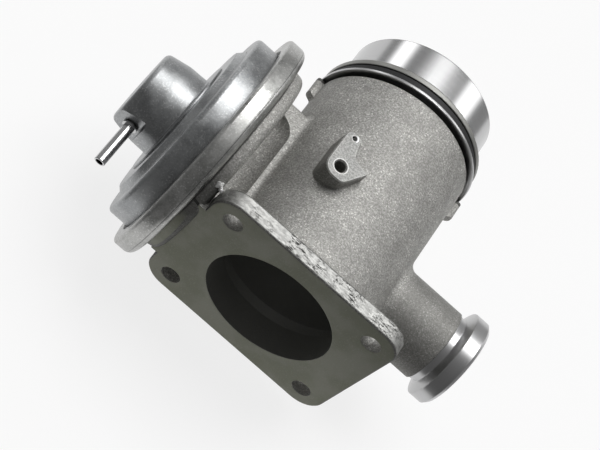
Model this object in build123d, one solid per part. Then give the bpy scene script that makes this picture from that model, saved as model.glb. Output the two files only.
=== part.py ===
from build123d import *
import math
import os

# EGR valve with a throttle-side duct housing. Sizes are in millimetres.
#
# Frame: the origin is the centre of the outlet bore on the manifold flange face.
# +Y runs along the duct, from the manifold flange to the hose spigot.
# +X runs along the valve stem, from the vacuum can to the exhaust-gas inlet.
# +Z points at the bracket boss.

PAST = 1.0                      # how far a cut runs past what it cuts

# ---- air duct ----
BARREL_R = 37.5
BARREL_LEN = 100.8
BARREL_WALL = 5.0               # around the chamber
OUTLET_STEP = 3.5               # from the chamber's wall in to the outlet bore
OUTLET_BORE_LEN = 14.0
CHAMBER_CONE_LEN = 7.0
INLET_BORE_LEN = 34.0
INLET_CONE_LEN = 3.8

# ---- hose end ----
SEAL_GROOVE_DEPTH = 2.5         # below the barrel
SEAL_GROOVE_LEN = 7.1
LIP_PROUD = 1.2                 # of the barrel
LIP_LEN = 2.8
SPIGOT_STEP = 3.7               # from the barrel in to the spigot
SPIGOT_WALL = 3.2
SPIGOT_LEN = 20.9
SPIGOT_CHAMFER = 0.9
CLIP_SLOT_OFFSET = 1.7          # from the barrel's end to the clip ring's slot
CLIP_SLOT_DEPTH = 0.8
CLIP_RING_T = 1.6
CLIP_RING_PROUD = 0.8           # past the lip
CLIP_RING_GAP = 12.0
CLIP_PLAY = 0.05
SEAL_SUNK = 0.35                # below the lip
SEAL_PLAY = 0.1
LUG_PROUD = 3.5                 # of the barrel
LUG_HALF_WIDTH = 2.2
LUG_LEN = 8.6
LUG_PAST_END = 1.4              # from the barrel's end to the lug's end
LUG_SLOPE = 1.8                 # how much longer the lug is at its root
LUG_BITE = 1.0                  # how far the lug starts inside the groove's floor
LUG_EDGE_R = 1.5
LUG_ROOT_R = 0.8
LIP_LOW_R = 0.3
LIP_HIGH_R = 0.6
SPIGOT_ROOT_R = 0.5
SEAL_EDGE_R = 0.8
CLIP_RING_EDGE_R = 0.4

# ---- manifold flange ----
FLANGE_MARGIN_X = 9.0           # past the barrel, along the stem
FLANGE_MARGIN_Z = 3.0           # past the barrel, across the stem
FLANGE_T = 7.8
BOLT_MARGIN_X = 10.75           # from a bolt hole's axis to the flange's edge
BOLT_MARGIN_Z = 10.7
BOLT_HOLE_R = 4.5
FLANGE_EDGE_CHAMFER = 0.5
FLANGE_TOP_R = 1.0
FLANGE_ROOT_R = 3.0
SPOT_FACE_R = 9.0               # clearance for the bolt heads beside the barrel
SPOT_FACE_LEN = 12.0

# ---- exhaust-gas inlet tube with V-band end ----
STEM_Y = 39.5                   # height of the stem's axis over the flange face
TUBE_R = 17.2
TUBE_BORE_R = 13.2
TUBE_REACH = 40.0               # from the barrel's surface to the tube's end
TUBE_ROOT_R = 4.0
VBAND_R = 21.4
VBAND_LEN = 7.4
VBAND_CONE_LEN = 1.9
VBAND_END_CHAMFER = 1.4
VBAND_NECK_R = 16.4
VBAND_NECK_LEN = 5.1
VBAND_RECESS_R = 16.8
VBAND_RECESS_DEPTH = 1.5
VBAND_EDGE_R = 0.3

# ---- valve seat and poppet ----
SEAT_SETBACK = 4.2              # from the chamber's wall in to the seat's face
SEAT_OUT_R = 15.0
SEAT_BORE_R = 12.0
SEAT_LEN = 5.2
SEAT_CONE = 1.6                 # radial width of the 45 degree seat
SEAT_EDGE_R = 0.3
SEAT_GAP = 0.15                 # along the stem, between seat and closed poppet
HEAD_RIM_LEN = 1.2
HEAD_LEN = 4.6
TULIP_LEN = 4.4
HEAD_FACE_STEP = 1.0            # from the seat's cone to the head's flat face
TULIP_R = 5.1                   # the stem's root at the head's back
TULIP_BLEND_R = 6.0
TULIP_STEM_BLEND_R = 4.0
STEM_R = 3.0
VALVE_LIFT = 7.5

# ---- stem guide ----
GUIDE_PLAY = 0.04
BUSH_R = 5.5
BUSH_PROUD = 3.0                # of the guide boss, into the duct
GUIDE_BOSS_R = 10.0
GUIDE_BOSS_PROUD = 1.5          # of the chamber's wall
GUIDE_NOSE_R = 7.5
GUIDE_NOSE_LEN = 2.3
SHIELD_T = 0.8
SHIELD_GAP = 1.2                # from the bush's end to the shield's wall
SHIELD_HOLE_R = 3.5
SHIELD_EDGE_R = 1.4
BUSH_EDGE_R = 0.8
STEM_SEAL_LEN = 2.5
RETAINER_R = 8.0
RETAINER_T = 0.8
RETAINER_HOLE_R = 3.3

# ---- neck and pad that carry the vacuum can ----
PAD_REACH = 15.5                # from the barrel's surface to the pad's face
PAD_SETBACK = 1.8               # pad's edge inside the crimp ring's lip
PAD_T = 6.7
PAD_DRAFT = 1.0                 # how much smaller the pad's edge is at its front
PAD_EDGE_R = 3.4
PAD_STEP = 0.8                  # fall of the pad's front from middle to edge
NECK_HALF_Z = 15.5
NECK_TOP_Y = 73.0
NECK_EDGE_R = 2.2
NECK_SCOOP_R = 10.0
NECK_SCOOP_LIFT = 4.0           # of the scoop's axis over the neck's flank
NECK_SCOOP_GAP = 0.3            # from the pad's front to the scoop's axis
NECK_SCOOP_DROP = 17.0          # from the neck's top to the scoop's round end
NECK_SCOOP_FLOOR = 0.8          # from the flange to the scoop's start
NECK_SCOOP_SUNK = 0.6           # how far the scoop runs into the pad
NECK_ROOT_R = 3.0               # fillet between neck and barrel
TONGUE_HALF_Z = 23.5
VENT_ANGLES = (250.0, 290.0)
VENT_HOLE_R = 2.0
VENT_PITCH_R = 35.0
VENT_GROOVE_DEPTH = 1.2
SCREW_HOLE_SPARE = 1.5          # drilled past the screw's end

# ---- bracket boss ----
BOSS_PROUD = 5.0                # of the barrel
BOSS_HOLE_X = -17.2
BOSS_HOLE_Y = 44.9
BOSS_R = 6.0                    # from the threaded hole's axis to the pillar's sides
BOSS_HEEL_R = 5.7
BOSS_HEEL_LEN = 4.5             # from the hole's axis to the slope that runs to the tip
BOSS_TOE_R = 4.2
BOSS_THREAD_R = 2.5             # M6, drawn at its tapping drill
BOSS_THREAD_LEN = 12.0
BOSS_THREAD_CHAMFER = 0.6
BOSS_PEG_X = -19.2
BOSS_PEG_Y = 59.6
BOSS_PEG_R = 1.15
BOSS_PEG_DEPTH = 5.0
BOSS_PEG_END_R = 3.4
BOSS_PEG_END_LEN = 2.4          # from the peg hole's axis to the pillar's end
BOSS_PEG_SIDE = 2.6
BOSS_PEG_SIDE_R = 2.4
BOSS_SHELF = 5.2                # from the peg hole to the corner above the tip
BOSS_SHELF_R = 1.6
BOSS_TIP_X = -6.0
BOSS_TIP_Y = 50.6
BOSS_TIP_R = 0.9
BOSS_TIP_LEN = 1.8              # along the duct, from the tip to the corner above it
BOSS_EDGE = 0.5
BOSS_SUNK = 8.0                 # from the barrel's surface to the pillar's buried foot

# ---- vacuum can ----
CRIMP_R = 54.2
CRIMP_LEN = 9.5
CRIMP_T = 1.2
CRIMP_LIP_REACH = 6.4           # how far the rolled lips reach inwards
CRIMP_FRONT_R = 3.9
CRIMP_BACK_R = 1.6
CRIMP_LIP_EDGE_R = 0.4
GASKET_T = 1.0
GASKET_SETBACK = 0.4            # inside the pad's edge
CAN_HOLE_R = 9.0
BASE_T = 1.5
BASE_FLAT_SETBACK = 1.0         # base's flat inside the cover's band
BASE_JOGGLE = 0.6
BASE_RIM_SETBACK = 2.4          # base's rim inside the cover's rim
BASE_BEND = 0.9                 # radial width of the joggle
BASE_BEND_R = 0.6
BASE_EDGE_R = 0.4
COVER_T = 1.2
COVER_RIM_PLAY = 0.5            # inside the crimp ring
COVER_RIM_WIDTH = 6.5           # from the band to the rim
COVER_BAND_LEN = 9.8            # from the crimp ring to the shoulder
COVER_SHOULDER_WIDTH = 7.5      # from the band to the step
COVER_STEP_LEN = 2.8
COVER_STEP_WIDTH = 2.9
COVER_EDGE_R = 2.0
COVER_STEP_R = 1.0
COVER_STEP_IN_R = 0.6
COVER_HOLE_R = 18.0
TOWER_T = 0.9
TOWER_BRIM_R = 26.8
TOWER_ROOT_R = 19.3
TOWER_TOP_R = 17.1
TOWER_LEN = 20.4
TOWER_CORNER_R = 2.6
TOWER_KNEE_R = 19.1
TOWER_KNEE_LEN = 10.6           # from the tower's end to where its taper stops
TOWER_KNEE_BEND_R = 14.0
TOWER_BRIM_BEND_R = 0.8
TOWER_BRIM_EDGE_R = 0.25
TOWER_FLAT_DIST = 16.2          # from the stem's axis to the flat that carries the nipple
TOWER_FLAT_LEN = 12.2
TOWER_FLAT_ANGLE = 187.0        # about the stem, from +Y towards +Z
TOWER_FLAT_BEND_R = 1.2
NIPPLE_R = 2.45
NIPPLE_BORE_R = 1.6
NIPPLE_DROP = 7.6               # from the tower's end to the nipple's axis
NIPPLE_SIDE = -0.9              # sideways offset of the nipple's axis
NIPPLE_ANGLE = 189.0
NIPPLE_TIP = 37.2               # from the stem's axis to the nipple's open end
NIPPLE_COLLAR_R = 3.4
NIPPLE_COLLAR_T = 0.7
NIPPLE_COLLAR_LIFT = 0.45       # over the flat, on the braze
NIPPLE_TIP_EDGE_R = 0.3
SCREW_SETBACK = 6.7             # screws inside the lower plate's edge
SCREW_ANGLES = (0.0, 125.0, 235.0)
SCREW_R = 2.0
SCREW_HEAD_R = 3.6
SCREW_HEAD_T = 1.9
SCREW_GRIP = 5.0                # thread in the pad
SCREW_SOCKET_R = 1.3
SCREW_SOCKET_DEPTH = 1.2
SCREW_HEAD_EDGE_R = 0.8
SCREW_END_R = 0.5
SCREW_HOLE_PLAY = 0.3           # in gasket and base
THREAD_PLAY = 0.03

# ---- diaphragm and its plates ----
SHOULDER_GAP = 4.5              # from the pad's face to the stem's shoulder
STUD_R = 2.5                    # M5 end of the stem
WASHER_R = 6.0
WASHER_T = 0.8
PLATE_T = 1.0
PLATE_SETBACK = 2.2             # inside the piston cup
PLATE_LIP = 1.3
PLATE_BEND = 1.6                # radial width of the turned-up edge
DIAPHRAGM_T = 1.0
BEAD_SETBACK = 0.6              # bead outside the cover's band
BEAD_PLAY = 0.7                 # bead inside the cover's rim
FOLD_PLAY = 1.0                 # fold inside the cover's wall
FOLD_WIDTH = 10.5
FOLD_CREST_GAP = 5.2            # from the cover's inside to the fold's crest
CUP_PLAY = 0.4                  # inside the fold
CUP_WALL = 3.8
CUP_EDGE_R = 1.2
BEAD_EDGE_R = 0.4
FOLD_ROOT_R = 0.6
FOLD_FLAT = 0.01                # half the flat left at the fold's crest
HUB_PLAY = 0.05
NUT_FLATS = 8.0
NUT_T = 4.0
NUT_CHAMFER = 0.5
NUT_CHAMFER_WIDTH = 0.8
NUT_CORNER_SPARE = 0.15
STUD_PROUD = 1.0
STUD_CHAMFER_R = 0.5

# ---- spring and its seat ----
SPRING_R = 13.6                 # to the middle of the wire
SPRING_WIRE_R = 1.1
SPRING_TURNS = 5.5
SEAT_CUP_T = 1.5
SEAT_CUP_R = 15.4
SEAT_CUP_RING_R = 12.1
SEAT_CUP_RING_LEN = 4.0
SEAT_CUP_RING_T = 2.0
SEAT_CUP_EDGE = 2.0             # the cup's back edge stays clear of the tower's corner
SEAT_CUP_EDGE_R = 0.5
STOP_POST_R = 4.0
STOP_POST_ROOT = 1.0
SPRING_PLAY = 0.1

# ---- places that follow from the sizes above ----
CHAMBER_R = BARREL_R - BARREL_WALL
OUTLET_BORE_R = CHAMBER_R - OUTLET_STEP
SPIGOT_R = BARREL_R - SPIGOT_STEP
INLET_BORE_R = SPIGOT_R - SPIGOT_WALL
SEAL_GROOVE_R = BARREL_R - SEAL_GROOVE_DEPTH
LIP_R = BARREL_R + LIP_PROUD
LUG_OUT_R = BARREL_R + LUG_PROUD
FLANGE_HALF_X = BARREL_R + FLANGE_MARGIN_X
FLANGE_HALF_Z = BARREL_R + FLANGE_MARGIN_Z
BOLT_X = FLANGE_HALF_X - BOLT_MARGIN_X
BOLT_Z = FLANGE_HALF_Z - BOLT_MARGIN_Z
BOSS_FACE_Z = BARREL_R + BOSS_PROUD
TUBE_END_X = BARREL_R + TUBE_REACH
PAD_FACE_X = -(BARREL_R + PAD_REACH)
SEAT_FACE_X = CHAMBER_R - SEAT_SETBACK
GUIDE_BOSS_END_X = GUIDE_BOSS_PROUD - CHAMBER_R
GUIDE_NOSE_END_X = GUIDE_BOSS_END_X + GUIDE_NOSE_LEN
BUSH_DUCT_END_X = GUIDE_BOSS_END_X + BUSH_PROUD
SHOULDER_X = PAD_FACE_X - SHOULDER_GAP
GROOVE_END_Y = BARREL_LEN + SEAL_GROOVE_LEN
LIP_END_Y = GROOVE_END_Y + LIP_LEN
SPIGOT_END_Y = LIP_END_Y + SPIGOT_LEN
LUG_HIGH_Y = BARREL_LEN + LUG_PAST_END
LUG_LOW_Y = LUG_HIGH_Y - LUG_LEN
LUG_ROOT_Y = LUG_LOW_Y - LUG_SLOPE
CLIP_SLOT_Y = BARREL_LEN + CLIP_SLOT_OFFSET
CLIP_SLOT_R = SEAL_GROOVE_R - CLIP_SLOT_DEPTH
CLIP_SLOT_LEN = CLIP_RING_T + 2 * CLIP_PLAY
SEAL_LOW_Y = CLIP_SLOT_Y + CLIP_SLOT_LEN + SEAL_PLAY
SEAT_END_X = SEAT_FACE_X + SEAT_LEN
SEAT_MOUTH_R = SEAT_BORE_R + SEAT_CONE
BUSH_CAN_END_X = PAD_FACE_X + RETAINER_T + STEM_SEAL_LEN
RETAINER_X = PAD_FACE_X + RETAINER_T
GASKET_BACK_X = PAD_FACE_X - GASKET_T
BASE_BACK_X = GASKET_BACK_X - BASE_T
CRIMP_FRONT_X = GASKET_BACK_X + CRIMP_T - BASE_JOGGLE
CRIMP_BACK_X = CRIMP_FRONT_X - CRIMP_LEN
BASE_RIM_BACK_X = BASE_BACK_X - BASE_JOGGLE
COVER_RIM_FRONT_X = CRIMP_BACK_X + CRIMP_T + COVER_T
COVER_SHOULDER_X = CRIMP_BACK_X - COVER_BAND_LEN
COVER_END_X = COVER_SHOULDER_X - COVER_STEP_LEN
TOWER_END_X = COVER_END_X - TOWER_LEN
NIPPLE_X = TOWER_END_X + NIPPLE_DROP
FOLD_CREST_X = COVER_SHOULDER_X + COVER_T + FOLD_CREST_GAP
PLATE_FRONT_X = SHOULDER_X - WASHER_T
PLATE_BACK_X = PLATE_FRONT_X - PLATE_T
CUP_FRONT_X = PLATE_BACK_X - DIAPHRAGM_T
CUP_BACK_X = CUP_FRONT_X - PLATE_T
NUT_BACK_X = CUP_BACK_X - NUT_T
STUD_END_X = NUT_BACK_X - STUD_PROUD
TOWER_INNER_END_X = TOWER_END_X + TOWER_T
SPRING_SEAT_X = TOWER_INNER_END_X + SEAT_CUP_T
STOP_X = STUD_END_X - VALVE_LIFT
VBAND_CONE_X = TUBE_END_X - VBAND_LEN
VBAND_NECK_END_X = VBAND_CONE_X - VBAND_CONE_LEN
VBAND_NECK_START_X = VBAND_CONE_X - VBAND_NECK_LEN
PAD_FRONT_X = PAD_FACE_X + PAD_T
CRIMP_LIP_R = CRIMP_R - CRIMP_LIP_REACH
PAD_R = CRIMP_LIP_R - PAD_SETBACK
GASKET_R = PAD_R - GASKET_SETBACK
COVER_RIM_R = CRIMP_R - CRIMP_T - COVER_RIM_PLAY
COVER_BAND_R = COVER_RIM_R - COVER_RIM_WIDTH
COVER_SHOULDER_R = COVER_BAND_R - COVER_SHOULDER_WIDTH
COVER_END_R = COVER_SHOULDER_R - COVER_STEP_WIDTH
BASE_RIM_R = COVER_RIM_R - BASE_RIM_SETBACK
BASE_FLAT_R = COVER_BAND_R - BASE_FLAT_SETBACK
BEAD_OUT_R = COVER_RIM_R - BEAD_PLAY
BEAD_IN_R = COVER_BAND_R + BEAD_SETBACK
FOLD_OUT_R = COVER_BAND_R - COVER_T - FOLD_PLAY
FOLD_IN_R = FOLD_OUT_R - FOLD_WIDTH
CUP_R = FOLD_IN_R - CUP_PLAY
PLATE_R = CUP_R - PLATE_SETBACK
SCREW_PITCH_R = PLATE_R - SCREW_SETBACK

STEM_AXIS = Axis((0, STEM_Y, 0), (1, 0, 0))


# ---- drawing helpers ----
SAME_PLACE = 1e-3               # two places this close are one


def outline(corners):
    """A closed face in the XY plane from (x, y) or (x, y, radius) corners."""
    rounded = []
    for index, corner in enumerate(corners):
        here = Vector(corner[0], corner[1])
        radius = corner[2] if len(corner) > 2 else 0.0
        if radius == 0.0:
            rounded.append((here, None, here))
            continue
        back = (Vector(*corners[index - 1][:2]) - here).normalized()
        ahead = (Vector(*corners[(index + 1) % len(corners)][:2]) - here).normalized()
        half = math.radians(back.get_angle(ahead)) / 2
        reach = radius / math.tan(half)
        middle = here + (back + ahead).normalized() * (radius / math.sin(half) - radius)
        rounded.append((here + back * reach, middle, here + ahead * reach))
    edges = []
    for index, (start, middle, end) in enumerate(rounded):
        if middle is not None:
            edges.append(ThreePointArc(start, middle, end))
        follower = rounded[(index + 1) % len(rounded)][0]
        if (follower - end).length > SAME_PLACE:
            edges.append(Line(end, follower))
    return make_face(Wire(edges))


def turned_on_stem(corners):
    """A body of revolution about the stem's axis from (x, radius) corners."""
    lifted = [(c[0], c[1] + STEM_Y, *c[2:]) for c in corners]
    return revolve(outline(lifted), STEM_AXIS, 360)


def turned_on_duct(corners):
    """A body of revolution about the duct's axis from (radius, y) corners."""
    return revolve(outline(corners), Axis.Y, 360)


def stem_rod(radius, start_x, end_x):
    """A cylinder on the stem's axis between two stations."""
    low, high = sorted((start_x, end_x))
    return Pos(low, STEM_Y, 0) * Rot(0, 90, 0) * Cylinder(
        radius, high - low, align=(Align.CENTER, Align.CENTER, Align.MIN)
    )


def duct_rod(radius, start_y, end_y, x=0.0, z=0.0):
    """A cylinder parallel to the duct between two stations."""
    return Pos(x, start_y, z) * Rot(-90, 0, 0) * Cylinder(
        radius, end_y - start_y, align=(Align.CENTER, Align.CENTER, Align.MIN)
    )


def block(x, y, z):
    """A box from its low and high limits along each axis."""
    size = [limits[1] - limits[0] for limits in (x, y, z)]
    middle = [(limits[1] + limits[0]) / 2 for limits in (x, y, z)]
    return Pos(*middle) * Box(*size)


def on_stem_circle(radius, angle):
    """The (y, z) place on a circle about the stem, with the angle from +Y to +Z."""
    turn = math.radians(angle)
    return STEM_Y + radius * math.cos(turn), radius * math.sin(turn)


def stem_radius(point):
    """A point's distance from the stem's axis."""
    return math.hypot(point.Y - STEM_Y, point.Z)


def duct_radius(point):
    """A point's distance from the duct's axis."""
    return math.hypot(point.X, point.Z)


def on_barrel(point):
    """Whether a point lies on the barrel's outside."""
    return abs(duct_radius(point) - BARREL_R) < 10 * SAME_PLACE


def edges_where(solid, test):
    """The edges whose sampled points all pass a test."""
    stations = (0.02, 0.25, 0.5, 0.75, 0.98)
    return [e for e in solid.edges() if all(test(e.position_at(s)) for s in stations)]


# ---- the casting ----
def make_flange():
    """Four-hole manifold flange, with its outer edges broken."""
    corner_r = FLANGE_HALF_Z - BOLT_Z
    face = RectangleRounded(2 * FLANGE_HALF_X, 2 * FLANGE_HALF_Z, corner_r)
    plate = extrude(Plane.XZ.offset(-FLANGE_T) * face, FLANGE_T)
    face_edges = edges_where(plate, lambda p: abs(p.Y) < SAME_PLACE)
    plate = chamfer(face_edges, FLANGE_EDGE_CHAMFER)
    back_edges = edges_where(plate, lambda p: abs(p.Y - FLANGE_T) < SAME_PLACE)
    return fillet(back_edges, FLANGE_TOP_R)


def make_hose_end():
    """Seal groove with the clip ring's slot, lip and spigot, on the duct's axis."""
    slot_end = CLIP_SLOT_Y + CLIP_SLOT_LEN
    return turned_on_duct([
        (0, BARREL_LEN - PAST),
        (SEAL_GROOVE_R, BARREL_LEN - PAST),
        (SEAL_GROOVE_R, CLIP_SLOT_Y),
        (CLIP_SLOT_R, CLIP_SLOT_Y),
        (CLIP_SLOT_R, slot_end),
        (SEAL_GROOVE_R, slot_end),
        (SEAL_GROOVE_R, GROOVE_END_Y),
        (LIP_R, GROOVE_END_Y, LIP_LOW_R),
        (LIP_R, LIP_END_Y, LIP_HIGH_R),
        (SPIGOT_R, LIP_END_Y, SPIGOT_ROOT_R),
        (SPIGOT_R, SPIGOT_END_Y - SPIGOT_CHAMFER),
        (SPIGOT_R - SPIGOT_CHAMFER, SPIGOT_END_Y),
        (0, SPIGOT_END_Y),
    ])


def make_lug(side, end_y):
    """Clip lug on one side of the barrel, cut off square at end_y."""
    low_r, high_r = SEAL_GROOVE_R - LUG_BITE, LUG_OUT_R
    slope = LUG_SLOPE / LUG_PROUD
    shape = outline([
        (side * low_r, LUG_LOW_Y - slope * (high_r - low_r)),
        (side * high_r, LUG_LOW_Y),
        (side * high_r, end_y),
        (side * low_r, end_y),
    ])
    lug = Pos(0, 0, -LUG_HALF_WIDTH) * extrude(shape, 2 * LUG_HALF_WIDTH, dir=(0, 0, 1))
    outer = edges_where(lug, lambda p: abs(p.X - side * high_r) < SAME_PLACE and abs(p.Z) > SAME_PLACE)
    return fillet(outer, LUG_EDGE_R)


def make_inlet_tube():
    """Exhaust-gas tube with its V-band end, outside only."""
    return turned_on_stem([
        (0, 0),
        (0, TUBE_R),
        (VBAND_NECK_START_X, TUBE_R, VBAND_EDGE_R),
        (VBAND_NECK_START_X, VBAND_NECK_R, VBAND_EDGE_R),
        (VBAND_NECK_END_X, VBAND_NECK_R, VBAND_EDGE_R),
        (VBAND_CONE_X, VBAND_R, VBAND_EDGE_R),
        (TUBE_END_X - VBAND_END_CHAMFER, VBAND_R, VBAND_EDGE_R),
        (TUBE_END_X, VBAND_R - VBAND_END_CHAMFER),
        (TUBE_END_X, 0),
    ])


def make_pad():
    """Round pad that the can is screwed to."""
    front_r = PAD_R - PAD_DRAFT
    return turned_on_stem([
        (PAD_FACE_X, 0),
        (PAD_FACE_X, PAD_R),
        (PAD_FRONT_X - PAD_STEP, front_r, PAD_EDGE_R),
        (PAD_FRONT_X, 0),
    ])


def make_neck_scoop(side):
    """Hollow in one flank of the neck, a round bar with a round end."""
    axis_x = PAD_FRONT_X + NECK_SCOOP_GAP
    axis_z = side * (NECK_HALF_Z + NECK_SCOOP_LIFT)
    end_y = NECK_TOP_Y - NECK_SCOOP_DROP
    bar = duct_rod(NECK_SCOOP_R, FLANGE_T + NECK_SCOOP_FLOOR, end_y, axis_x, axis_z)
    ball = Pos(axis_x, end_y, axis_z) * Sphere(NECK_SCOOP_R)
    reach = sorted((0, 2 * axis_z))
    room = block((PAD_FRONT_X - NECK_SCOOP_SUNK, 0), (0, NECK_TOP_Y), reach)
    return (bar & room) + (ball & room)


def make_neck():
    """Neck between barrel and pad, with its top edges rounded."""
    reach = (PAD_FACE_X + PAD_T / 2, -CHAMBER_R)
    neck = block(reach, (0, NECK_TOP_Y), (-NECK_HALF_Z, NECK_HALF_Z))
    long_edges = edges_where(neck, lambda p: abs(p.Y - NECK_TOP_Y) < SAME_PLACE
                             and abs(abs(p.Z) - NECK_HALF_Z) < SAME_PLACE)
    neck = fillet(long_edges, NECK_EDGE_R)
    tongue = block(reach, (0, FLANGE_T), (-TONGUE_HALF_Z, TONGUE_HALF_Z))
    return neck + tongue


def make_boss():
    """Bracket boss: a pillar with a threaded hole, a peg hole and a pointed side."""
    left = BOSS_HOLE_X - BOSS_R
    low = BOSS_HOLE_Y - BOSS_R
    high = BOSS_PEG_Y + BOSS_PEG_END_LEN
    shape = outline([
        (left, low, BOSS_HEEL_R),
        (BOSS_HOLE_X + BOSS_HEEL_LEN, low, BOSS_TOE_R),
        (BOSS_TIP_X, BOSS_TIP_Y, BOSS_TIP_R),
        (BOSS_PEG_X + BOSS_SHELF, BOSS_TIP_Y + BOSS_TIP_LEN, BOSS_SHELF_R),
        (BOSS_PEG_X + BOSS_PEG_SIDE, high, BOSS_PEG_SIDE_R),
        (left, high, BOSS_PEG_END_R),
    ])
    foot_z = BARREL_R - BOSS_SUNK
    pillar = Pos(0, 0, foot_z) * extrude(shape, BOSS_FACE_Z - foot_z)
    top = edges_where(pillar, lambda p: abs(p.Z - BOSS_FACE_Z) < SAME_PLACE)
    return chamfer(top, BOSS_EDGE)


def make_body_cuts():
    """Everything that is bored or drilled out of the casting."""
    chamber_low = OUTLET_BORE_LEN + CHAMBER_CONE_LEN
    chamber_high = SPIGOT_END_Y - INLET_BORE_LEN
    duct = turned_on_duct([
        (0, -PAST),
        (OUTLET_BORE_R, -PAST),
        (OUTLET_BORE_R, OUTLET_BORE_LEN),
        (CHAMBER_R, chamber_low),
        (CHAMBER_R, chamber_high),
        (INLET_BORE_R, chamber_high + INLET_CONE_LEN),
        (INLET_BORE_R, SPIGOT_END_Y + PAST),
        (0, SPIGOT_END_Y + PAST),
    ])
    seat_boss = stem_rod(TUBE_R, SEAT_FACE_X, BARREL_R)
    guide_boss = turned_on_stem([
        (-BARREL_R, 0),
        (-BARREL_R, GUIDE_BOSS_R),
        (GUIDE_BOSS_END_X, GUIDE_BOSS_R),
        (GUIDE_BOSS_END_X, GUIDE_NOSE_R),
        (GUIDE_NOSE_END_X, GUIDE_NOSE_R),
        (GUIDE_NOSE_END_X, 0),
    ])
    cuts = [duct - seat_boss - guide_boss]
    cuts.append(stem_rod(SEAT_OUT_R, SEAT_FACE_X - SEAT_LEN, SEAT_END_X))
    cuts.append(stem_rod(TUBE_BORE_R, SEAT_END_X, TUBE_END_X + PAST))
    cuts.append(stem_rod(VBAND_RECESS_R, TUBE_END_X - VBAND_RECESS_DEPTH, TUBE_END_X + PAST))
    cuts.append(stem_rod(BUSH_R, PAD_FACE_X - PAST, GUIDE_NOSE_END_X + PAST))
    cuts.append(stem_rod(RETAINER_R + THREAD_PLAY, PAD_FACE_X - PAST, RETAINER_X))
    for side_x in (-BOLT_X, BOLT_X):
        for side_z in (-BOLT_Z, BOLT_Z):
            cuts.append(duct_rod(BOLT_HOLE_R, -PAST, FLANGE_T + PAST, side_x, side_z))
            cuts.append(duct_rod(SPOT_FACE_R, FLANGE_T, FLANGE_T + SPOT_FACE_LEN, side_x, side_z))
    return cuts + make_pad_cuts() + make_boss_cuts()


def make_pad_cuts():
    """Blind screw holes and vent grooves in the pad's face."""
    cuts = []
    depth = SCREW_GRIP + SCREW_HOLE_SPARE
    for angle in SCREW_ANGLES:
        y, z = on_stem_circle(SCREW_PITCH_R, angle)
        hole = Cylinder(SCREW_R + THREAD_PLAY, 2 * depth)
        cuts.append(Pos(PAD_FACE_X, y, z) * Rot(0, 90, 0) * hole)
    for angle in VENT_ANGLES:
        groove = block(
            (PAD_FACE_X - PAST, PAD_FACE_X + VENT_GROOVE_DEPTH),
            (VENT_PITCH_R - VENT_HOLE_R, PAD_R + PAST),
            (-VENT_HOLE_R, VENT_HOLE_R),
        )
        cuts.append(Pos(0, STEM_Y, 0) * Rot(angle, 0, 0) * groove)
    return cuts


def make_boss_cuts():
    """Threaded hole with its chamfer, and the peg hole, in the boss's face."""
    hole = Pos(BOSS_HOLE_X, BOSS_HOLE_Y, BOSS_FACE_Z)
    peg_hole = Pos(BOSS_PEG_X, BOSS_PEG_Y, BOSS_FACE_Z)
    mouth_r = BOSS_THREAD_R + BOSS_THREAD_CHAMFER
    return [
        hole * Cylinder(BOSS_THREAD_R, 2 * BOSS_THREAD_LEN),
        hole * Cone(mouth_r - PAST, mouth_r + PAST, 2 * PAST),
        peg_hole * Cylinder(BOSS_PEG_R, 2 * BOSS_PEG_DEPTH),
    ]


def make_valve_body():
    """The aluminium casting with all its machined features."""
    casting = duct_rod(BARREL_R, 0, BARREL_LEN) + make_inlet_tube()
    tube_root = edges_where(casting, lambda p: on_barrel(p) and stem_radius(p) < BARREL_R)
    casting = fillet(tube_root, TUBE_ROOT_R)
    casting = casting + make_lug(1, BARREL_LEN) + make_lug(-1, BARREL_LEN)
    lug_roots = edges_where(casting, lambda p: on_barrel(p) and abs(p.Z) < LUG_HALF_WIDTH + SAME_PLACE
                            and LUG_ROOT_Y - LUG_SLOPE < p.Y < BARREL_LEN - SAME_PLACE)
    casting = fillet(lug_roots, LUG_ROOT_R)
    casting = casting + make_flange()
    flange_root = edges_where(casting, lambda p: on_barrel(p) and abs(p.Y - FLANGE_T) < SAME_PLACE)
    casting = fillet(flange_root, FLANGE_ROOT_R)
    casting = casting + make_neck()
    neck_root = edges_where(casting, lambda p: on_barrel(p) and p.X < -CHAMBER_R
                            and p.Y < NECK_TOP_Y + SAME_PLACE)
    casting = fillet(neck_root, NECK_ROOT_R)
    casting = casting - make_neck_scoop(1) - make_neck_scoop(-1)
    casting = casting + make_pad() + make_boss() + make_hose_end()
    casting = casting + make_lug(1, LUG_HIGH_Y) + make_lug(-1, LUG_HIGH_Y)
    for cut in make_body_cuts():
        casting = casting - cut
    return casting


# ---- pieces on the hose end ----
def make_clip_ring():
    """Spring-steel ring in its slot, split on the side away from the boss."""
    outer = LIP_R + CLIP_RING_PROUD
    low = CLIP_SLOT_Y + CLIP_PLAY
    ring = turned_on_duct([
        (CLIP_SLOT_R + CLIP_PLAY, low),
        (outer, low, CLIP_RING_EDGE_R),
        (outer, low + CLIP_RING_T, CLIP_RING_EDGE_R),
        (CLIP_SLOT_R + CLIP_PLAY, low + CLIP_RING_T),
    ])
    half = CLIP_RING_GAP / 2
    return ring - block((-half, half), (BARREL_LEN, GROOVE_END_Y), (-outer - PAST, 0))


def make_hose_seal():
    """Black rubber ring that fills the groove between clip ring and lip."""
    outer = LIP_R - SEAL_SUNK
    return turned_on_duct([
        (SEAL_GROOVE_R, SEAL_LOW_Y),
        (outer, SEAL_LOW_Y, SEAL_EDGE_R),
        (outer, GROOVE_END_Y, SEAL_EDGE_R),
        (SEAL_GROOVE_R, GROOVE_END_Y),
    ])


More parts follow.
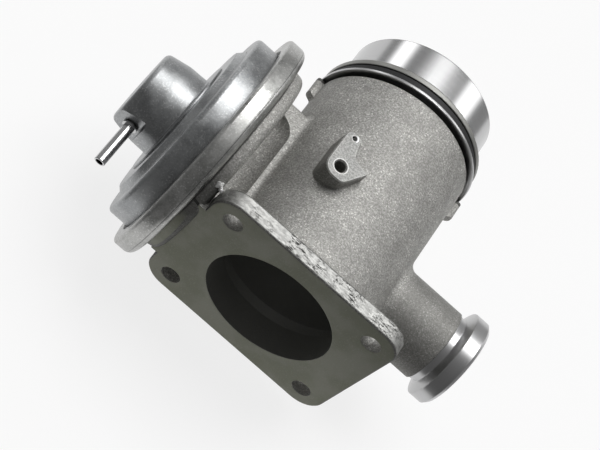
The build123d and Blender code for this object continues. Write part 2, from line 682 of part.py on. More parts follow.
# ---- valve ----
def make_valve_seat():
    """Steel seat ring with a 45 degree seat on its duct side."""
    return turned_on_stem([
        (SEAT_FACE_X, SEAT_MOUTH_R),
        (SEAT_FACE_X, SEAT_OUT_R, SEAT_EDGE_R),
        (SEAT_END_X, SEAT_OUT_R),
        (SEAT_END_X, SEAT_BORE_R, SEAT_EDGE_R),
        (SEAT_FACE_X + SEAT_CONE, SEAT_BORE_R),
    ])


def make_poppet_valve():
    """Head and stem in one piece, closed on its seat, with a threaded stud for the plates."""
    rim_x = SEAT_FACE_X - SEAT_GAP
    face_x = rim_x + SEAT_CONE + HEAD_FACE_STEP
    face_r = SEAT_MOUTH_R - SEAT_CONE - HEAD_FACE_STEP
    back_x = face_x - HEAD_LEN
    return turned_on_stem([
        (face_x, 0),
        (face_x, face_r),
        (rim_x, SEAT_MOUTH_R),
        (rim_x - HEAD_RIM_LEN, SEAT_MOUTH_R, SEAT_EDGE_R),
        (back_x, TULIP_R, TULIP_BLEND_R),
        (back_x - TULIP_LEN, STEM_R, TULIP_STEM_BLEND_R),
        (SHOULDER_X, STEM_R),
        (SHOULDER_X, STUD_R),
        (STUD_END_X, STUD_R, STUD_CHAMFER_R),
        (STUD_END_X, 0),
    ])


def make_guide_bush():
    """Long guide for the stem, pressed into the neck."""
    bore = STEM_R + GUIDE_PLAY
    return turned_on_stem([
        (BUSH_CAN_END_X, bore),
        (BUSH_CAN_END_X, BUSH_R),
        (BUSH_DUCT_END_X, BUSH_R, BUSH_EDGE_R),
        (BUSH_DUCT_END_X, bore, BUSH_EDGE_R / 2),
    ])


def make_soot_shield():
    """Sheet cup over the guide's duct end."""
    wall_x = BUSH_DUCT_END_X + SHIELD_GAP
    outer = GUIDE_NOSE_R + SHIELD_T
    return turned_on_stem([
        (GUIDE_BOSS_END_X, GUIDE_NOSE_R),
        (GUIDE_BOSS_END_X, outer),
        (wall_x + SHIELD_T, outer, SHIELD_EDGE_R),
        (wall_x + SHIELD_T, SHIELD_HOLE_R),
        (wall_x, SHIELD_HOLE_R),
        (wall_x, GUIDE_NOSE_R, SHIELD_EDGE_R - SHIELD_T),
    ])


def make_stem_seal():
    """Graphite ring between guide and retainer."""
    return turned_on_stem([
        (RETAINER_X, STEM_R + GUIDE_PLAY),
        (RETAINER_X, BUSH_R),
        (BUSH_CAN_END_X, BUSH_R),
        (BUSH_CAN_END_X, STEM_R + GUIDE_PLAY),
    ])


def make_seal_retainer():
    """Washer that keeps the stem seal in the neck."""
    return turned_on_stem([
        (PAD_FACE_X, RETAINER_HOLE_R),
        (PAD_FACE_X, RETAINER_R),
        (RETAINER_X, RETAINER_R),
        (RETAINER_X, RETAINER_HOLE_R),
    ])


# ---- vacuum can ----
def can_holes(front_x, back_x):
    """Screw and vent holes through a flat piece of the can."""
    holes = []
    length = front_x - back_x + 2 * PAST
    for radius, pitch, angles in (
        (SCREW_R + SCREW_HOLE_PLAY, SCREW_PITCH_R, SCREW_ANGLES),
        (VENT_HOLE_R, VENT_PITCH_R, VENT_ANGLES),
    ):
        for angle in angles:
            y, z = on_stem_circle(pitch, angle)
            middle = Pos((front_x + back_x) / 2, y, z)
            holes.append(middle * Rot(0, 90, 0) * Cylinder(radius, length))
    return holes


def make_base_gasket():
    """Insulating gasket between pad and can."""
    gasket = turned_on_stem([
        (PAD_FACE_X, CAN_HOLE_R),
        (PAD_FACE_X, GASKET_R),
        (GASKET_BACK_X, GASKET_R),
        (GASKET_BACK_X, CAN_HOLE_R),
    ])
    for hole in can_holes(PAD_FACE_X, GASKET_BACK_X):
        gasket = gasket - hole
    return gasket


def make_actuator_base():
    """Pressed dish that carries the can, with a joggled rim."""
    base = turned_on_stem([
        (GASKET_BACK_X, CAN_HOLE_R),
        (GASKET_BACK_X, BASE_FLAT_R, BASE_BEND_R),
        (GASKET_BACK_X - BASE_JOGGLE, BASE_FLAT_R + BASE_BEND, BASE_BEND_R / 2),
        (GASKET_BACK_X - BASE_JOGGLE, BASE_RIM_R, BASE_EDGE_R),
        (BASE_RIM_BACK_X, BASE_RIM_R),
        (BASE_RIM_BACK_X, BASE_FLAT_R + BASE_BEND / 2, BASE_BEND_R / 2),
        (BASE_BACK_X, BASE_FLAT_R - BASE_BEND / 2, BASE_BEND_R),
        (BASE_BACK_X, CAN_HOLE_R),
    ])
    for hole in can_holes(GASKET_BACK_X, BASE_BACK_X):
        base = base - hole
    return base


def make_base_screws():
    """The screws that hold base and gasket on the pad."""
    length = SCREW_GRIP + GASKET_T + BASE_T
    profile = outline([
        (0, 0),
        (length, 0),
        (length, SCREW_R, SCREW_END_R),
        (0, SCREW_R),
        (0, SCREW_HEAD_R),
        (-SCREW_HEAD_T, SCREW_HEAD_R, SCREW_HEAD_EDGE_R),
        (-SCREW_HEAD_T, 0),
    ])
    hexagon = RegularPolygon(SCREW_SOCKET_R, 6)
    socket = Pos(-SCREW_HEAD_T, 0, 0) * Rot(0, 90, 0) * extrude(hexagon, SCREW_SOCKET_DEPTH, both=True)
    screw = revolve(profile, Axis.X, 360) - socket
    screws = []
    for angle in SCREW_ANGLES:
        y, z = on_stem_circle(SCREW_PITCH_R, angle)
        screws.append(Pos(BASE_BACK_X, y, z) * screw)
    return Compound(children=screws)


def make_crimp_ring():
    """Rolled band that clamps base, diaphragm and cover at their rims."""
    inner = CRIMP_R - CRIMP_T
    return turned_on_stem([
        (CRIMP_FRONT_X, CRIMP_LIP_R, CRIMP_LIP_EDGE_R),
        (CRIMP_FRONT_X, CRIMP_R, CRIMP_FRONT_R),
        (CRIMP_BACK_X, CRIMP_R, CRIMP_BACK_R),
        (CRIMP_BACK_X, CRIMP_LIP_R, CRIMP_LIP_EDGE_R),
        (CRIMP_BACK_X + CRIMP_T, CRIMP_LIP_R),
        (CRIMP_BACK_X + CRIMP_T, inner, CRIMP_BACK_R - CRIMP_T),
        (CRIMP_FRONT_X - CRIMP_T, inner, CRIMP_FRONT_R - CRIMP_T),
        (CRIMP_FRONT_X - CRIMP_T, CRIMP_LIP_R),
    ])


def make_upper_cover():
    """Stepped pressed cover, open in the middle for the spring tower."""
    t = COVER_T
    rim_back = COVER_RIM_FRONT_X - t
    slope = math.atan2(COVER_SHOULDER_X - COVER_END_X, COVER_SHOULDER_R - COVER_END_R)
    bite = t * math.tan(slope / 2)
    return turned_on_stem([
        (COVER_END_X, COVER_HOLE_R),
        (COVER_END_X, COVER_END_R, COVER_STEP_R),
        (COVER_SHOULDER_X, COVER_SHOULDER_R, COVER_STEP_R),
        (COVER_SHOULDER_X, COVER_BAND_R, COVER_EDGE_R),
        (rim_back, COVER_BAND_R, COVER_STEP_IN_R),
        (rim_back, COVER_RIM_R),
        (COVER_RIM_FRONT_X, COVER_RIM_R),
        (COVER_RIM_FRONT_X, COVER_BAND_R - t, COVER_STEP_R),
        (COVER_SHOULDER_X + t, COVER_BAND_R - t, COVER_EDGE_R - t),
        (COVER_SHOULDER_X + t, COVER_SHOULDER_R - bite, COVER_STEP_IN_R),
        (COVER_END_X + t, COVER_END_R - bite, COVER_STEP_IN_R),
        (COVER_END_X + t, COVER_HOLE_R),
    ])


def tower_profile(shrink, brim_r):
    """Outline of the tower, solid inside, made smaller by a wall on every side."""
    root_r = TOWER_ROOT_R - shrink
    brim = [(COVER_END_X, root_r)]
    if brim_r > root_r:
        brim = [
            (COVER_END_X, brim_r),
            (COVER_END_X - TOWER_T, brim_r, TOWER_BRIM_EDGE_R),
            (COVER_END_X - TOWER_T, root_r, TOWER_BRIM_BEND_R),
        ]
    return turned_on_stem([
        (COVER_END_X, 0),
        *brim,
        (TOWER_END_X + TOWER_KNEE_LEN, TOWER_KNEE_R - shrink, TOWER_KNEE_BEND_R - shrink),
        (TOWER_END_X + shrink, TOWER_TOP_R - shrink, TOWER_CORNER_R - shrink),
        (TOWER_END_X + shrink, 0),
    ])


def tower_flat(shrink):
    """The space outside the nipple's flat on the tower's end corner."""
    reach = 2 * TOWER_ROOT_R
    end_x = TOWER_END_X + TOWER_FLAT_LEN + shrink
    dist = TOWER_FLAT_DIST - shrink
    tool = block((TOWER_END_X - PAST, end_x), (dist, reach), (-reach, reach))
    bend = edges_where(tool, lambda p: abs(p.X - end_x) < SAME_PLACE and abs(p.Y - dist) < SAME_PLACE)
    tool = fillet(bend, TOWER_FLAT_BEND_R)
    return Pos(0, STEM_Y, 0) * Rot(TOWER_FLAT_ANGLE, 0, 0) * tool


def nipple_rod(radius, start, end):
    """A cylinder on the nipple's axis between two distances from the stem."""
    rod = Pos(NIPPLE_X, start, NIPPLE_SIDE) * Rot(-90, 0, 0) * Cylinder(
        radius, end - start, align=(Align.CENTER, Align.CENTER, Align.MIN))
    return Pos(0, STEM_Y, 0) * Rot(NIPPLE_ANGLE, 0, 0) * rod


def make_spring_tower():
    """Deep-drawn cup with a brim, over the spring, with a flat for the nipple."""
    outside = tower_profile(0.0, TOWER_BRIM_R) - tower_flat(0.0)
    inside = tower_profile(TOWER_T, TOWER_ROOT_R - TOWER_T) - tower_flat(TOWER_T)
    return outside - inside - nipple_rod(NIPPLE_R, TOWER_FLAT_DIST - TOWER_T - PAST, NIPPLE_TIP)


def make_vacuum_nipple():
    """Thin tube brazed into the tower's flat, with a small collar."""
    start = TOWER_FLAT_DIST - TOWER_T
    tube = nipple_rod(NIPPLE_R, start, NIPPLE_TIP)
    tip_edges = edges_where(tube, lambda p: p.Y < STEM_Y - NIPPLE_TIP + NIPPLE_R)
    tube = fillet(tip_edges, NIPPLE_TIP_EDGE_R)
    seat = TOWER_FLAT_DIST + NIPPLE_COLLAR_LIFT
    collar = nipple_rod(NIPPLE_COLLAR_R, seat, seat + NIPPLE_COLLAR_T)
    return tube + collar - nipple_rod(NIPPLE_BORE_R, start - PAST, NIPPLE_TIP + PAST)


# ---- diaphragm stack ----
def make_shoulder_washer():
    """Washer between the stem's shoulder and the lower plate."""
    return stem_rod(WASHER_R, SHOULDER_X, PLATE_FRONT_X) - stem_rod(
        STUD_R + HUB_PLAY, SHOULDER_X + PAST, PLATE_FRONT_X - PAST)


def make_lower_plate():
    """Dish under the diaphragm, with its edge turned away from the rubber."""
    return turned_on_stem([
        (PLATE_FRONT_X, STUD_R + HUB_PLAY),
        (PLATE_FRONT_X, PLATE_R - PLATE_BEND, PLATE_BEND / 3),
        (PLATE_FRONT_X + PLATE_LIP, PLATE_R),
        (PLATE_FRONT_X + PLATE_LIP, PLATE_R + PLATE_T),
        (PLATE_BACK_X, PLATE_R + PLATE_T - PLATE_BEND, PLATE_BEND / 1.5),
        (PLATE_BACK_X, STUD_R + HUB_PLAY),
    ])


def make_diaphragm():
    """Reinforced rubber diaphragm with an edge bead and a rolling fold towards the spring."""
    t = DIAPHRAGM_T
    web_x = (BASE_RIM_BACK_X + COVER_RIM_FRONT_X) / 2
    outer_fold = (FOLD_OUT_R - FOLD_IN_R) / 2 - FOLD_FLAT
    inner_fold = outer_fold - t
    return turned_on_stem([
        (CUP_FRONT_X, STUD_R + HUB_PLAY),
        (CUP_FRONT_X, FOLD_IN_R),
        (FOLD_CREST_X, FOLD_IN_R, outer_fold),
        (FOLD_CREST_X, FOLD_OUT_R, outer_fold),
        (web_x - t / 2, FOLD_OUT_R, FOLD_ROOT_R),
        (web_x - t / 2, BEAD_IN_R),
        (COVER_RIM_FRONT_X, BEAD_IN_R, BEAD_EDGE_R),
        (COVER_RIM_FRONT_X, BEAD_OUT_R, BEAD_EDGE_R),
        (BASE_RIM_BACK_X, BEAD_OUT_R, BEAD_EDGE_R),
        (BASE_RIM_BACK_X, BEAD_IN_R, BEAD_EDGE_R),
        (web_x + t / 2, BEAD_IN_R),
        (web_x + t / 2, FOLD_OUT_R - t, FOLD_ROOT_R + t),
        (FOLD_CREST_X + t, FOLD_OUT_R - t, inner_fold),
        (FOLD_CREST_X + t, FOLD_IN_R + t, inner_fold),
        (PLATE_BACK_X, FOLD_IN_R + t),
        (PLATE_BACK_X, STUD_R + HUB_PLAY),
    ])


def make_piston_cup():
    """Cup over the diaphragm, whose wall the fold rolls on."""
    wall_x = CUP_FRONT_X - PLATE_T - CUP_WALL
    return turned_on_stem([
        (CUP_FRONT_X, STUD_R + HUB_PLAY),
        (CUP_FRONT_X, CUP_R, CUP_EDGE_R),
        (wall_x, CUP_R, PLATE_T / 3),
        (wall_x, CUP_R - PLATE_T, PLATE_T / 3),
        (CUP_BACK_X, CUP_R - PLATE_T, CUP_EDGE_R / 3),
        (CUP_BACK_X, STUD_R + HUB_PLAY),
    ])


def make_stem_nut():
    """Hexagon nut that clamps the plates and the diaphragm."""
    hexagon = RegularPolygon(NUT_FLATS / 2, 6, major_radius=False)
    nut = Pos(NUT_BACK_X, STEM_Y, 0) * Rot(0, 90, 0) * extrude(hexagon, NUT_T)
    corner_r = NUT_FLATS / math.sqrt(3) + NUT_CORNER_SPARE
    crown = turned_on_stem([
        (CUP_BACK_X, 0),
        (CUP_BACK_X, corner_r),
        (NUT_BACK_X + NUT_CHAMFER, corner_r),
        (NUT_BACK_X, corner_r - NUT_CHAMFER_WIDTH),
        (NUT_BACK_X, 0),
    ])
    return (nut & crown) - stem_rod(STUD_R + THREAD_PLAY, CUP_BACK_X + PAST, NUT_BACK_X - PAST)


# ---- spring ----
def make_spring_seat():
    """Moulded cup at the tower's end, with the post that stops the lift."""
    ring_x = SPRING_SEAT_X + SEAT_CUP_RING_LEN
    ring_in_r = SEAT_CUP_RING_R - SEAT_CUP_RING_T
    return turned_on_stem([
        (TOWER_INNER_END_X, 0),
        (TOWER_INNER_END_X, SEAT_CUP_R - SEAT_CUP_EDGE, SEAT_CUP_EDGE_R),
        (SPRING_SEAT_X, SEAT_CUP_R),
        (SPRING_SEAT_X, SEAT_CUP_RING_R),
        (ring_x, SEAT_CUP_RING_R, SEAT_CUP_EDGE_R),
        (ring_x, ring_in_r, SEAT_CUP_EDGE_R),
        (SPRING_SEAT_X, ring_in_r, SEAT_CUP_EDGE_R),
        (SPRING_SEAT_X, STOP_POST_R + STOP_POST_ROOT, STOP_POST_ROOT),
        (STOP_X, STOP_POST_R, SEAT_CUP_EDGE_R),
        (STOP_X, 0),
    ])


def make_return_spring():
    """Coil spring from the spring seat to the piston cup."""
    start = SPRING_SEAT_X + SPRING_WIRE_R + SPRING_PLAY
    end = CUP_BACK_X - SPRING_WIRE_R - SPRING_PLAY
    path = Helix(pitch=(end - start) / SPRING_TURNS, height=end - start, radius=SPRING_R)
    section = Plane(path @ 0, z_dir=path % 0) * Circle(SPRING_WIRE_R)
    coil = sweep(section, path=path, is_frenet=True)
    return Pos(start, STEM_Y, 0) * Rot(0, 90, 0) * coil


PARTS = {
    "valve_body": make_valve_body,
    "clip_ring": make_clip_ring,
    "hose_seal": make_hose_seal,
    "valve_seat": make_valve_seat,
    "poppet_valve": make_poppet_valve,
    "guide_bush": make_guide_bush,
    "soot_shield": make_soot_shield,
    "stem_seal": make_stem_seal,
    "seal_retainer": make_seal_retainer,
    "base_gasket": make_base_gasket,
    "actuator_base": make_actuator_base,
    "base_screws": make_base_screws,
    "crimp_ring": make_crimp_ring,
    "upper_cover": make_upper_cover,
    "spring_tower": make_spring_tower,
    "vacuum_nipple": make_vacuum_nipple,
    "shoulder_washer": make_shoulder_washer,
    "lower_plate": make_lower_plate,
    "diaphragm": make_diaphragm,
    "piston_cup": make_piston_cup,
    "stem_nut": make_stem_nut,
    "spring_seat": make_spring_seat,
    "return_spring": make_return_spring,
}

os.makedirs("parts", exist_ok=True)
for node, make in PARTS.items():
    shape = make()
    shape.label = node
    export_step(shape, f"parts/{node}.step")
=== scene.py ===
"""Looks of an exhaust gas recirculation valve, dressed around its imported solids.

Frame, in metres: the origin is the centre of the outlet bore on the manifold flange's face,
+Y runs along the duct to the hose spigot, +X along the stem to the exhaust-gas inlet, +Z to the boss.
Materials work in millimetres on Object coordinates.
"""
import math

import bmesh
import bpy
import numpy as np
from mathutils import Matrix, Vector


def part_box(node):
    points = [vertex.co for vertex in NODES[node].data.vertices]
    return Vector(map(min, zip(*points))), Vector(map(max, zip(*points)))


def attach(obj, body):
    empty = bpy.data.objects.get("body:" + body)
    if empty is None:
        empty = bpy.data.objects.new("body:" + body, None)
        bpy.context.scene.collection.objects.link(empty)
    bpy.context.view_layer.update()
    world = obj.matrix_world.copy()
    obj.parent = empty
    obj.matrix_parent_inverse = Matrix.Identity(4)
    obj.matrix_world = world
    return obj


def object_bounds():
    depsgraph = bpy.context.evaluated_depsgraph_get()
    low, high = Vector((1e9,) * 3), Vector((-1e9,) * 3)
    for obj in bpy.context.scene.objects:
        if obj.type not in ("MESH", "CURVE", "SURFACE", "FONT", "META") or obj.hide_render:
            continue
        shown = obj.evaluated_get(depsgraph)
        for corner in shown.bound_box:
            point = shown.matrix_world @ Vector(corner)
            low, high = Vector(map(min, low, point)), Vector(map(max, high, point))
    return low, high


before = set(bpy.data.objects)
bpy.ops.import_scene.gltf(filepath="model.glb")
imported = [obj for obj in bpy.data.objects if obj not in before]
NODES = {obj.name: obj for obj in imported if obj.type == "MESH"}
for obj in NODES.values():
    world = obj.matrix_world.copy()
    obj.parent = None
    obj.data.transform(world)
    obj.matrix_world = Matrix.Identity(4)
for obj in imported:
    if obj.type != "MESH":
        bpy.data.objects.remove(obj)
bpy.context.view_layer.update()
MM = 0.001

# ---- places on the casting, in millimetres ----
SPIGOT_END_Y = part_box("valve_body")[1].y / MM
STEM_Y = 0.5 * (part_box("poppet_valve")[0].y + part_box("poppet_valve")[1].y) / MM
FLANGE_HALF_X = 46.5
FLANGE_T = 7.8
RIM_FROM_X = 41.0                # the flange's sides lie past this on both sides of the duct
RIM_FROM_Z = 38.0
RIM_WEAR_X = (-36.0, -14.0)      # the rim's pits come in over this stretch
BOLT_X = 35.75
BOLT_Z = 29.8
BOLT_HOLE_R = 4.5
BARREL_R = 37.5
BARREL_END_Y = 100.8
DUCT_INSIDE_R = 33.0             # a surface nearer the duct's axis is inside it
GROOVE_END_Y = 107.9
LIP_END_Y = 110.7
TUBE_ROOT_X = (33.0, 41.0)       # the gas tube comes out of the barrel here
TUBE_REACH_R = (20.0, 23.0)
VBAND_START_X = 65.0
PAD_FACE_X = -53.0
BARREL_SIDE_X = -30.0            # neck and pad lie below this x
HOLLOW_Y = (5.0, 16.0)           # the gap between pad and flange ends here
BOSS_FACE_Z = 42.5
BOSS_LOW_Z = 30.0
BOSS_SPAN_X = (-26.0, -4.0)
BOSS_SPAN_Y = (37.0, 64.0)
PEG_PLACE = (-19.2, 59.6, 0.0)
# the peg hole's wall is painted dark as shade away from PEG_GLINT_WAY and white as a highlight towards it
PEG_WALL_R = 1.2
# a ring round the peg hole on the boss face is painted white towards PEG_GLINT_WAY as a glint
PEG_GLINT_R = (1.05, 1.75)
PEG_GLINT_WAY = (0.95, 0.3, 0.0)
THREAD_PLACE = (-17.2, 44.9, 0.0)
# a ring round the thread hole on the boss face, painted light as a highlight on its chamfer
THREAD_HIGHLIGHT_R = (2.7, 3.4)

# ---- places on the can ----
CRIMP_SEAM_X = -55.9
NIPPLE_PLACE = (-88.3, 39.36, 0.89)
NIPPLE_ANGLE = 189.0
NIPPLE_BORE_R = 1.6


# ---- node trees ----
class Tree:
    """Adds nodes to one node tree and joins them, so that a recipe reads as a formula."""

    def __init__(self, tree):
        self.tree = tree

    def put(self, socket, value):
        """Joins a socket to an input, or sets the input to a plain value."""
        if isinstance(value, bpy.types.NodeSocket):
            self.tree.links.new(value, socket)
        elif value is not None:
            socket.default_value = value

    def add(self, kind, inputs=None, **settings):
        """A node with its settings and inputs; inputs are named or numbered."""
        node = self.tree.nodes.new(kind)
        for name, value in settings.items():
            setattr(node, name, value)
        for name, value in (inputs or {}).items():
            self.put(node.inputs[name], value)
        return node

    def math(self, operation, a, b=None, clamp=False):
        return self.add("ShaderNodeMath", {0: a, 1: b}, operation=operation, use_clamp=clamp).outputs[0]

    def plus(self, a, b):
        return self.math("ADD", a, b)

    def minus(self, a, b):
        return self.math("SUBTRACT", a, b)

    def over(self, a, b):
        return self.math("DIVIDE", a, b)

    def higher(self, a, b):
        return self.math("MAXIMUM", a, b)

    def times(self, product, *others):
        """The product of all the numbers; of masks, the place that they share."""
        for other in others:
            product = self.math("MULTIPLY", product, other)
        return product

    def vector(self, operation, a, b=None, scale=None):
        node = self.add("ShaderNodeVectorMath", {0: a, 1: b}, operation=operation)
        if scale is not None:
            self.put(node.inputs["Scale"], scale)
        return node.outputs["Value" if operation in ("DOT_PRODUCT", "LENGTH") else "Vector"]

    def length(self, vector):
        return self.vector("LENGTH", vector)

    def ease(self, value, low, high, start=0.0, end=1.0):
        """value carried smoothly from the range low..high to start..end, held at both ends."""
        inputs = {"Value": value, "From Min": low, "From Max": high, "To Min": start, "To Max": end}
        return self.add("ShaderNodeMapRange", inputs, interpolation_type="SMOOTHSTEP").outputs["Result"]

    def fade(self, value, low, high):
        """1 below low, easing to 0 at high."""
        return self.ease(value, low, high, 1.0, 0.0)

    def within(self, value, low, high, soft):
        """1 between low and high, falling to 0 over soft outside."""
        return self.times(self.ease(value, low - soft, low), self.fade(value, high, high + soft))

    def noise(self, vector, scale, detail=2.0, roughness=0.5):
        inputs = {"Vector": vector, "Scale": scale, "Detail": detail, "Roughness": roughness}
        return self.add("ShaderNodeTexNoise", inputs).outputs["Fac"]

    def mix(self, share, a, b):
        """Colour a to colour b by share."""
        node = self.add("ShaderNodeMix", data_type="RGBA")
        for socket, value in zip((node.inputs[0], node.inputs[6], node.inputs[7]), (share, a, b)):
            if isinstance(value, tuple) and len(value) == 3:
                value = (*value, 1.0)
            self.put(socket, value)
        return node.outputs[2]

    def blend(self, share, a, b):
        """Number a to number b by share."""
        return self.add("ShaderNodeMix", {0: share, 2: a, 3: b}, data_type="FLOAT").outputs[0]

    def coats(self, colour, layers):
        """A colour under layers of (mask, strength, colour), each laid over those before it."""
        for mask, strength, tone in layers:
            colour = self.mix(self.times(mask, strength), colour, tone)
        return colour

    def split(self, vector):
        return self.add("ShaderNodeSeparateXYZ", {0: vector}).outputs

    def join(self, x, y, z):
        return self.add("ShaderNodeCombineXYZ", {0: x, 1: y, 2: z}).outputs[0]

    def place(self):
        """The point on the piece in millimetres, and the surface's direction there."""
        node = self.add("ShaderNodeTexCoord")
        return self.vector("SCALE", node.outputs["Object"], scale=1 / MM), node.outputs["Normal"]

    def group(self, group, **inputs):
        """A shared effect, with its inputs given by name."""
        return self.add("ShaderNodeGroup", inputs, node_tree=group).outputs

    def bump(self, height, distance, strength, normal=None):
        """A normal from a height in units of distance, in millimetres."""
        inputs = {"Height": height, "Distance": distance * MM, "Strength": strength, "Normal": normal}
        return self.add("ShaderNodeBump", inputs).outputs["Normal"]


def new_group(name, inputs, outputs):
    """An empty node group. inputs are (name, kind, default) and outputs (name, kind)."""
    group = bpy.data.node_groups.new(name, "ShaderNodeTree")
    for label, kind, default in inputs:
        socket = group.interface.new_socket(label, in_out="INPUT", socket_type=f"NodeSocket{kind}")
        if default is not None:
            socket.default_value = default
    for label, kind in outputs:
        group.interface.new_socket(label, in_out="OUTPUT", socket_type=f"NodeSocket{kind}")
    tree = Tree(group)
    start = tree.add("NodeGroupInput").outputs
    end = tree.add("NodeGroupOutput").inputs
    return group, tree, start, end


# ---- shared effects ----
CREASE_REACH = 1.6
CREASE_SAMPLES = 4
EDGE_SAMPLES = 6


def sand_grain():
    """Skin of a sand-grained casting: fine grains, coarser mottling and a few bright grains."""
    group, t, start, end = new_group(
        "sand grain",
        [("Place", "Vector", None), ("Size", "Float", 1.0)],
        [("Height", "Float"), ("Mottle", "Float"), ("Sparkle", "Float")],
    )
    place = t.vector("SCALE", start["Place"], scale=t.over(1.0, start["Size"]))
    fine = t.noise(place, 1.5, 4.0, 0.75)
    grains = t.add("ShaderNodeTexVoronoi", {"Vector": place, "Scale": 1.1}, feature="SMOOTH_F1")
    hollows = t.minus(1.0, grains.outputs["Distance"])
    coarse = t.noise(place, 0.10, 3.0, 0.6)
    middle = t.noise(place, 1.0, 2.0, 0.7)
    glitter = t.ease(t.noise(place, 1.25, 1.0, 0.5), 0.56, 0.70)
    t.put(end["Height"], t.plus(t.times(fine, 0.7), t.times(hollows, 0.4)))
    t.put(end["Mottle"], t.plus(t.times(coarse, 0.2), t.times(middle, 0.8)))
    t.put(end["Sparkle"], t.times(glitter, t.ease(coarse, 0.36, 0.60, 0.3, 1.0)))
    return group


def edge_break():
    """Softened edges: a normal that rounds them, a mask of them, and a mask of the inner corners found by
    ambient occlusion, used for painted shade.
    """
    group, t, start, end = new_group(
        "edge break",
        [("Width", "Float", 0.4)],
        [("Edge", "Float"), ("Crease Shade", "Float"), ("Normal", "Vector")],
    )
    reach = {"Distance": CREASE_REACH * MM}
    open_share = t.add("ShaderNodeAmbientOcclusion", reach, samples=CREASE_SAMPLES).outputs["AO"]
    width = {"Radius": t.times(start["Width"], MM)}
    rounded = t.add("ShaderNodeBevel", width, samples=EDGE_SAMPLES).outputs["Normal"]
    facing = t.add("ShaderNodeNewGeometry").outputs["Normal"]
    turn = t.minus(1.0, t.vector("DOT_PRODUCT", rounded, facing))
    t.put(end["Crease Shade"], t.fade(open_share, 0.35, 0.80))
    t.put(end["Edge"], t.ease(turn, 0.015, 0.16))
    t.put(end["Normal"], rounded)
    return group


def turning_marks():
    """Lathe feed marks along an axis, with streaks round the piece where the tool chattered."""
    group, t, start, end = new_group(
        "turning marks",
        [("Along", "Float", 0.0), ("Place", "Vector", None), ("Pitch", "Float", 0.25)],
        [("Height", "Float"), ("Streak", "Float")],
    )
    line = t.join(t.over(start["Along"], start["Pitch"]), 0.0, 0.0)
    band = t.noise(t.join(start["Along"], 0.0, 0.0), 0.9, 2.0, 0.5)
    drift = t.noise(t.vector("SCALE", start["Place"], scale=0.09), 1.0, 1.0)
    t.put(end["Height"], t.noise(line, 1.0, 2.0, 0.7))
    t.put(end["Streak"], t.plus(t.times(band, 0.6), t.times(drift, 0.4)))
    return group


def pitting():
    """Short pits drawn out across the duct, in worn patches, as on a trimmed edge: 1 in a pit."""
    group, t, start, end = new_group(
        "pitting",
        [("Place", "Vector", None), ("Size", "Float", 1.0), ("Share", "Float", 0.3)],
        [("Pit", "Float")],
    )
    place = t.vector("SCALE", start["Place"], scale=t.over(1.0, start["Size"]))
    drawn_out = t.vector("MULTIPLY", place, (0.4, 1.3, 0.4))
    dashes = t.ease(t.noise(drawn_out, 1.5, 2.0, 0.65), 0.55, 0.62)
    specks = t.ease(t.noise(place, 2.2, 2.0, 0.6), 0.64, 0.70)
    limit = t.minus(0.66, t.times(start["Share"], 0.3))
    patches = t.ease(t.minus(t.noise(place, 0.10, 2.0, 0.6), limit), -0.05, 0.08)
    worn = t.plus(0.25, t.times(patches, 0.75))
    pits = t.math("MAXIMUM", t.times(dashes, patches), t.times(specks, worn), clamp=True)
    t.put(end["Pit"], pits)
    return group


SAND_GRAIN = sand_grain()
EDGE_BREAK = edge_break()
TURNING = turning_marks()
PITTING = pitting()


# ---- materials ----
def new_material(name):
    """A material with only its shader and output left; returns it, its tree and the shader."""
    material = bpy.data.materials.new(name)
    material.use_nodes = True
    shader = next(n for n in material.node_tree.nodes if n.type == "BSDF_PRINCIPLED")
    return material, Tree(material.node_tree), shader


# tones of the casting; pairs run from dark to light
SKIN_TONES = ((0.27, 0.266, 0.252), (0.45, 0.445, 0.425))
SPARKLE_TONE = (0.85, 0.84, 0.81)
# the gas tube's root is darkened with this as painted shade
TUBE_PAINTED_SHADE = (0.15, 0.148, 0.138)
# the boss pillar's sides are darkened with this as painted shade
BOSS_SIDE_PAINTED_SHADE = (0.11, 0.11, 0.10)
# the recess between pad and flange is darkened with this as painted shade
HOLLOW_PAINTED_SHADE = (0.07, 0.07, 0.065)
RUBBED_EDGE = (0.68, 0.67, 0.65)
# laid in inner corners and creases found by ambient occlusion: painted shade
CREASE_PAINTED_SHADE = (0.06, 0.06, 0.055)
# dark of the rim's pits, which is dirt, and of the pad's ragged line by the crimp ring, the rim's edge
# lines and the flange face's chamfer line, which is painted shade
PIT_DIRT_AND_PAINTED_SHADE = (0.05, 0.05, 0.047)
TURNED_TONES = ((0.46, 0.46, 0.465), (0.56, 0.56, 0.56))
# the undercut groove by the seal is painted this dark as shade
GROOVE_PAINTED_SHADE = (0.10, 0.10, 0.095)
LIP_TONE = (0.31, 0.31, 0.295)
SPIGOT_EDGE_TONE = (0.09, 0.09, 0.088)
# the flange face's grey-green tones, kept dark as painted shade of a face turned from the light
FACE_TONES_WITH_PAINTED_SHADE = ((0.180, 0.187, 0.138), (0.228, 0.232, 0.188))
FACE_FLECK = (0.33, 0.33, 0.30)
RIM_TONES = ((0.29, 0.29, 0.28), (0.44, 0.44, 0.425))
MILLED_TONES = ((0.28, 0.28, 0.27), (0.47, 0.47, 0.455))
# the thread hole's chamfer ring is painted this light as a highlight
THREAD_CHAMFER_PAINTED_HIGHLIGHT = (0.85, 0.85, 0.83)
# the boss face's top edge is painted this light as a highlight
BOSS_EDGE_PAINTED_HIGHLIGHT = (0.92, 0.92, 0.90)
# painted shade and painted highlight of the peg hole's wall
PEG_HOLE_PAINTED_SHADE_AND_HIGHLIGHT = ((0.03, 0.03, 0.03), (0.98, 0.98, 0.97))
# the peg hole's glint, painted white as a highlight
PAINTED_GLINT_TONE = (1.0, 1.0, 1.0)
# the inside of the outlet bore is darkened with this as painted shade
BORE_PAINTED_SHADE = (0.20, 0.20, 0.185)

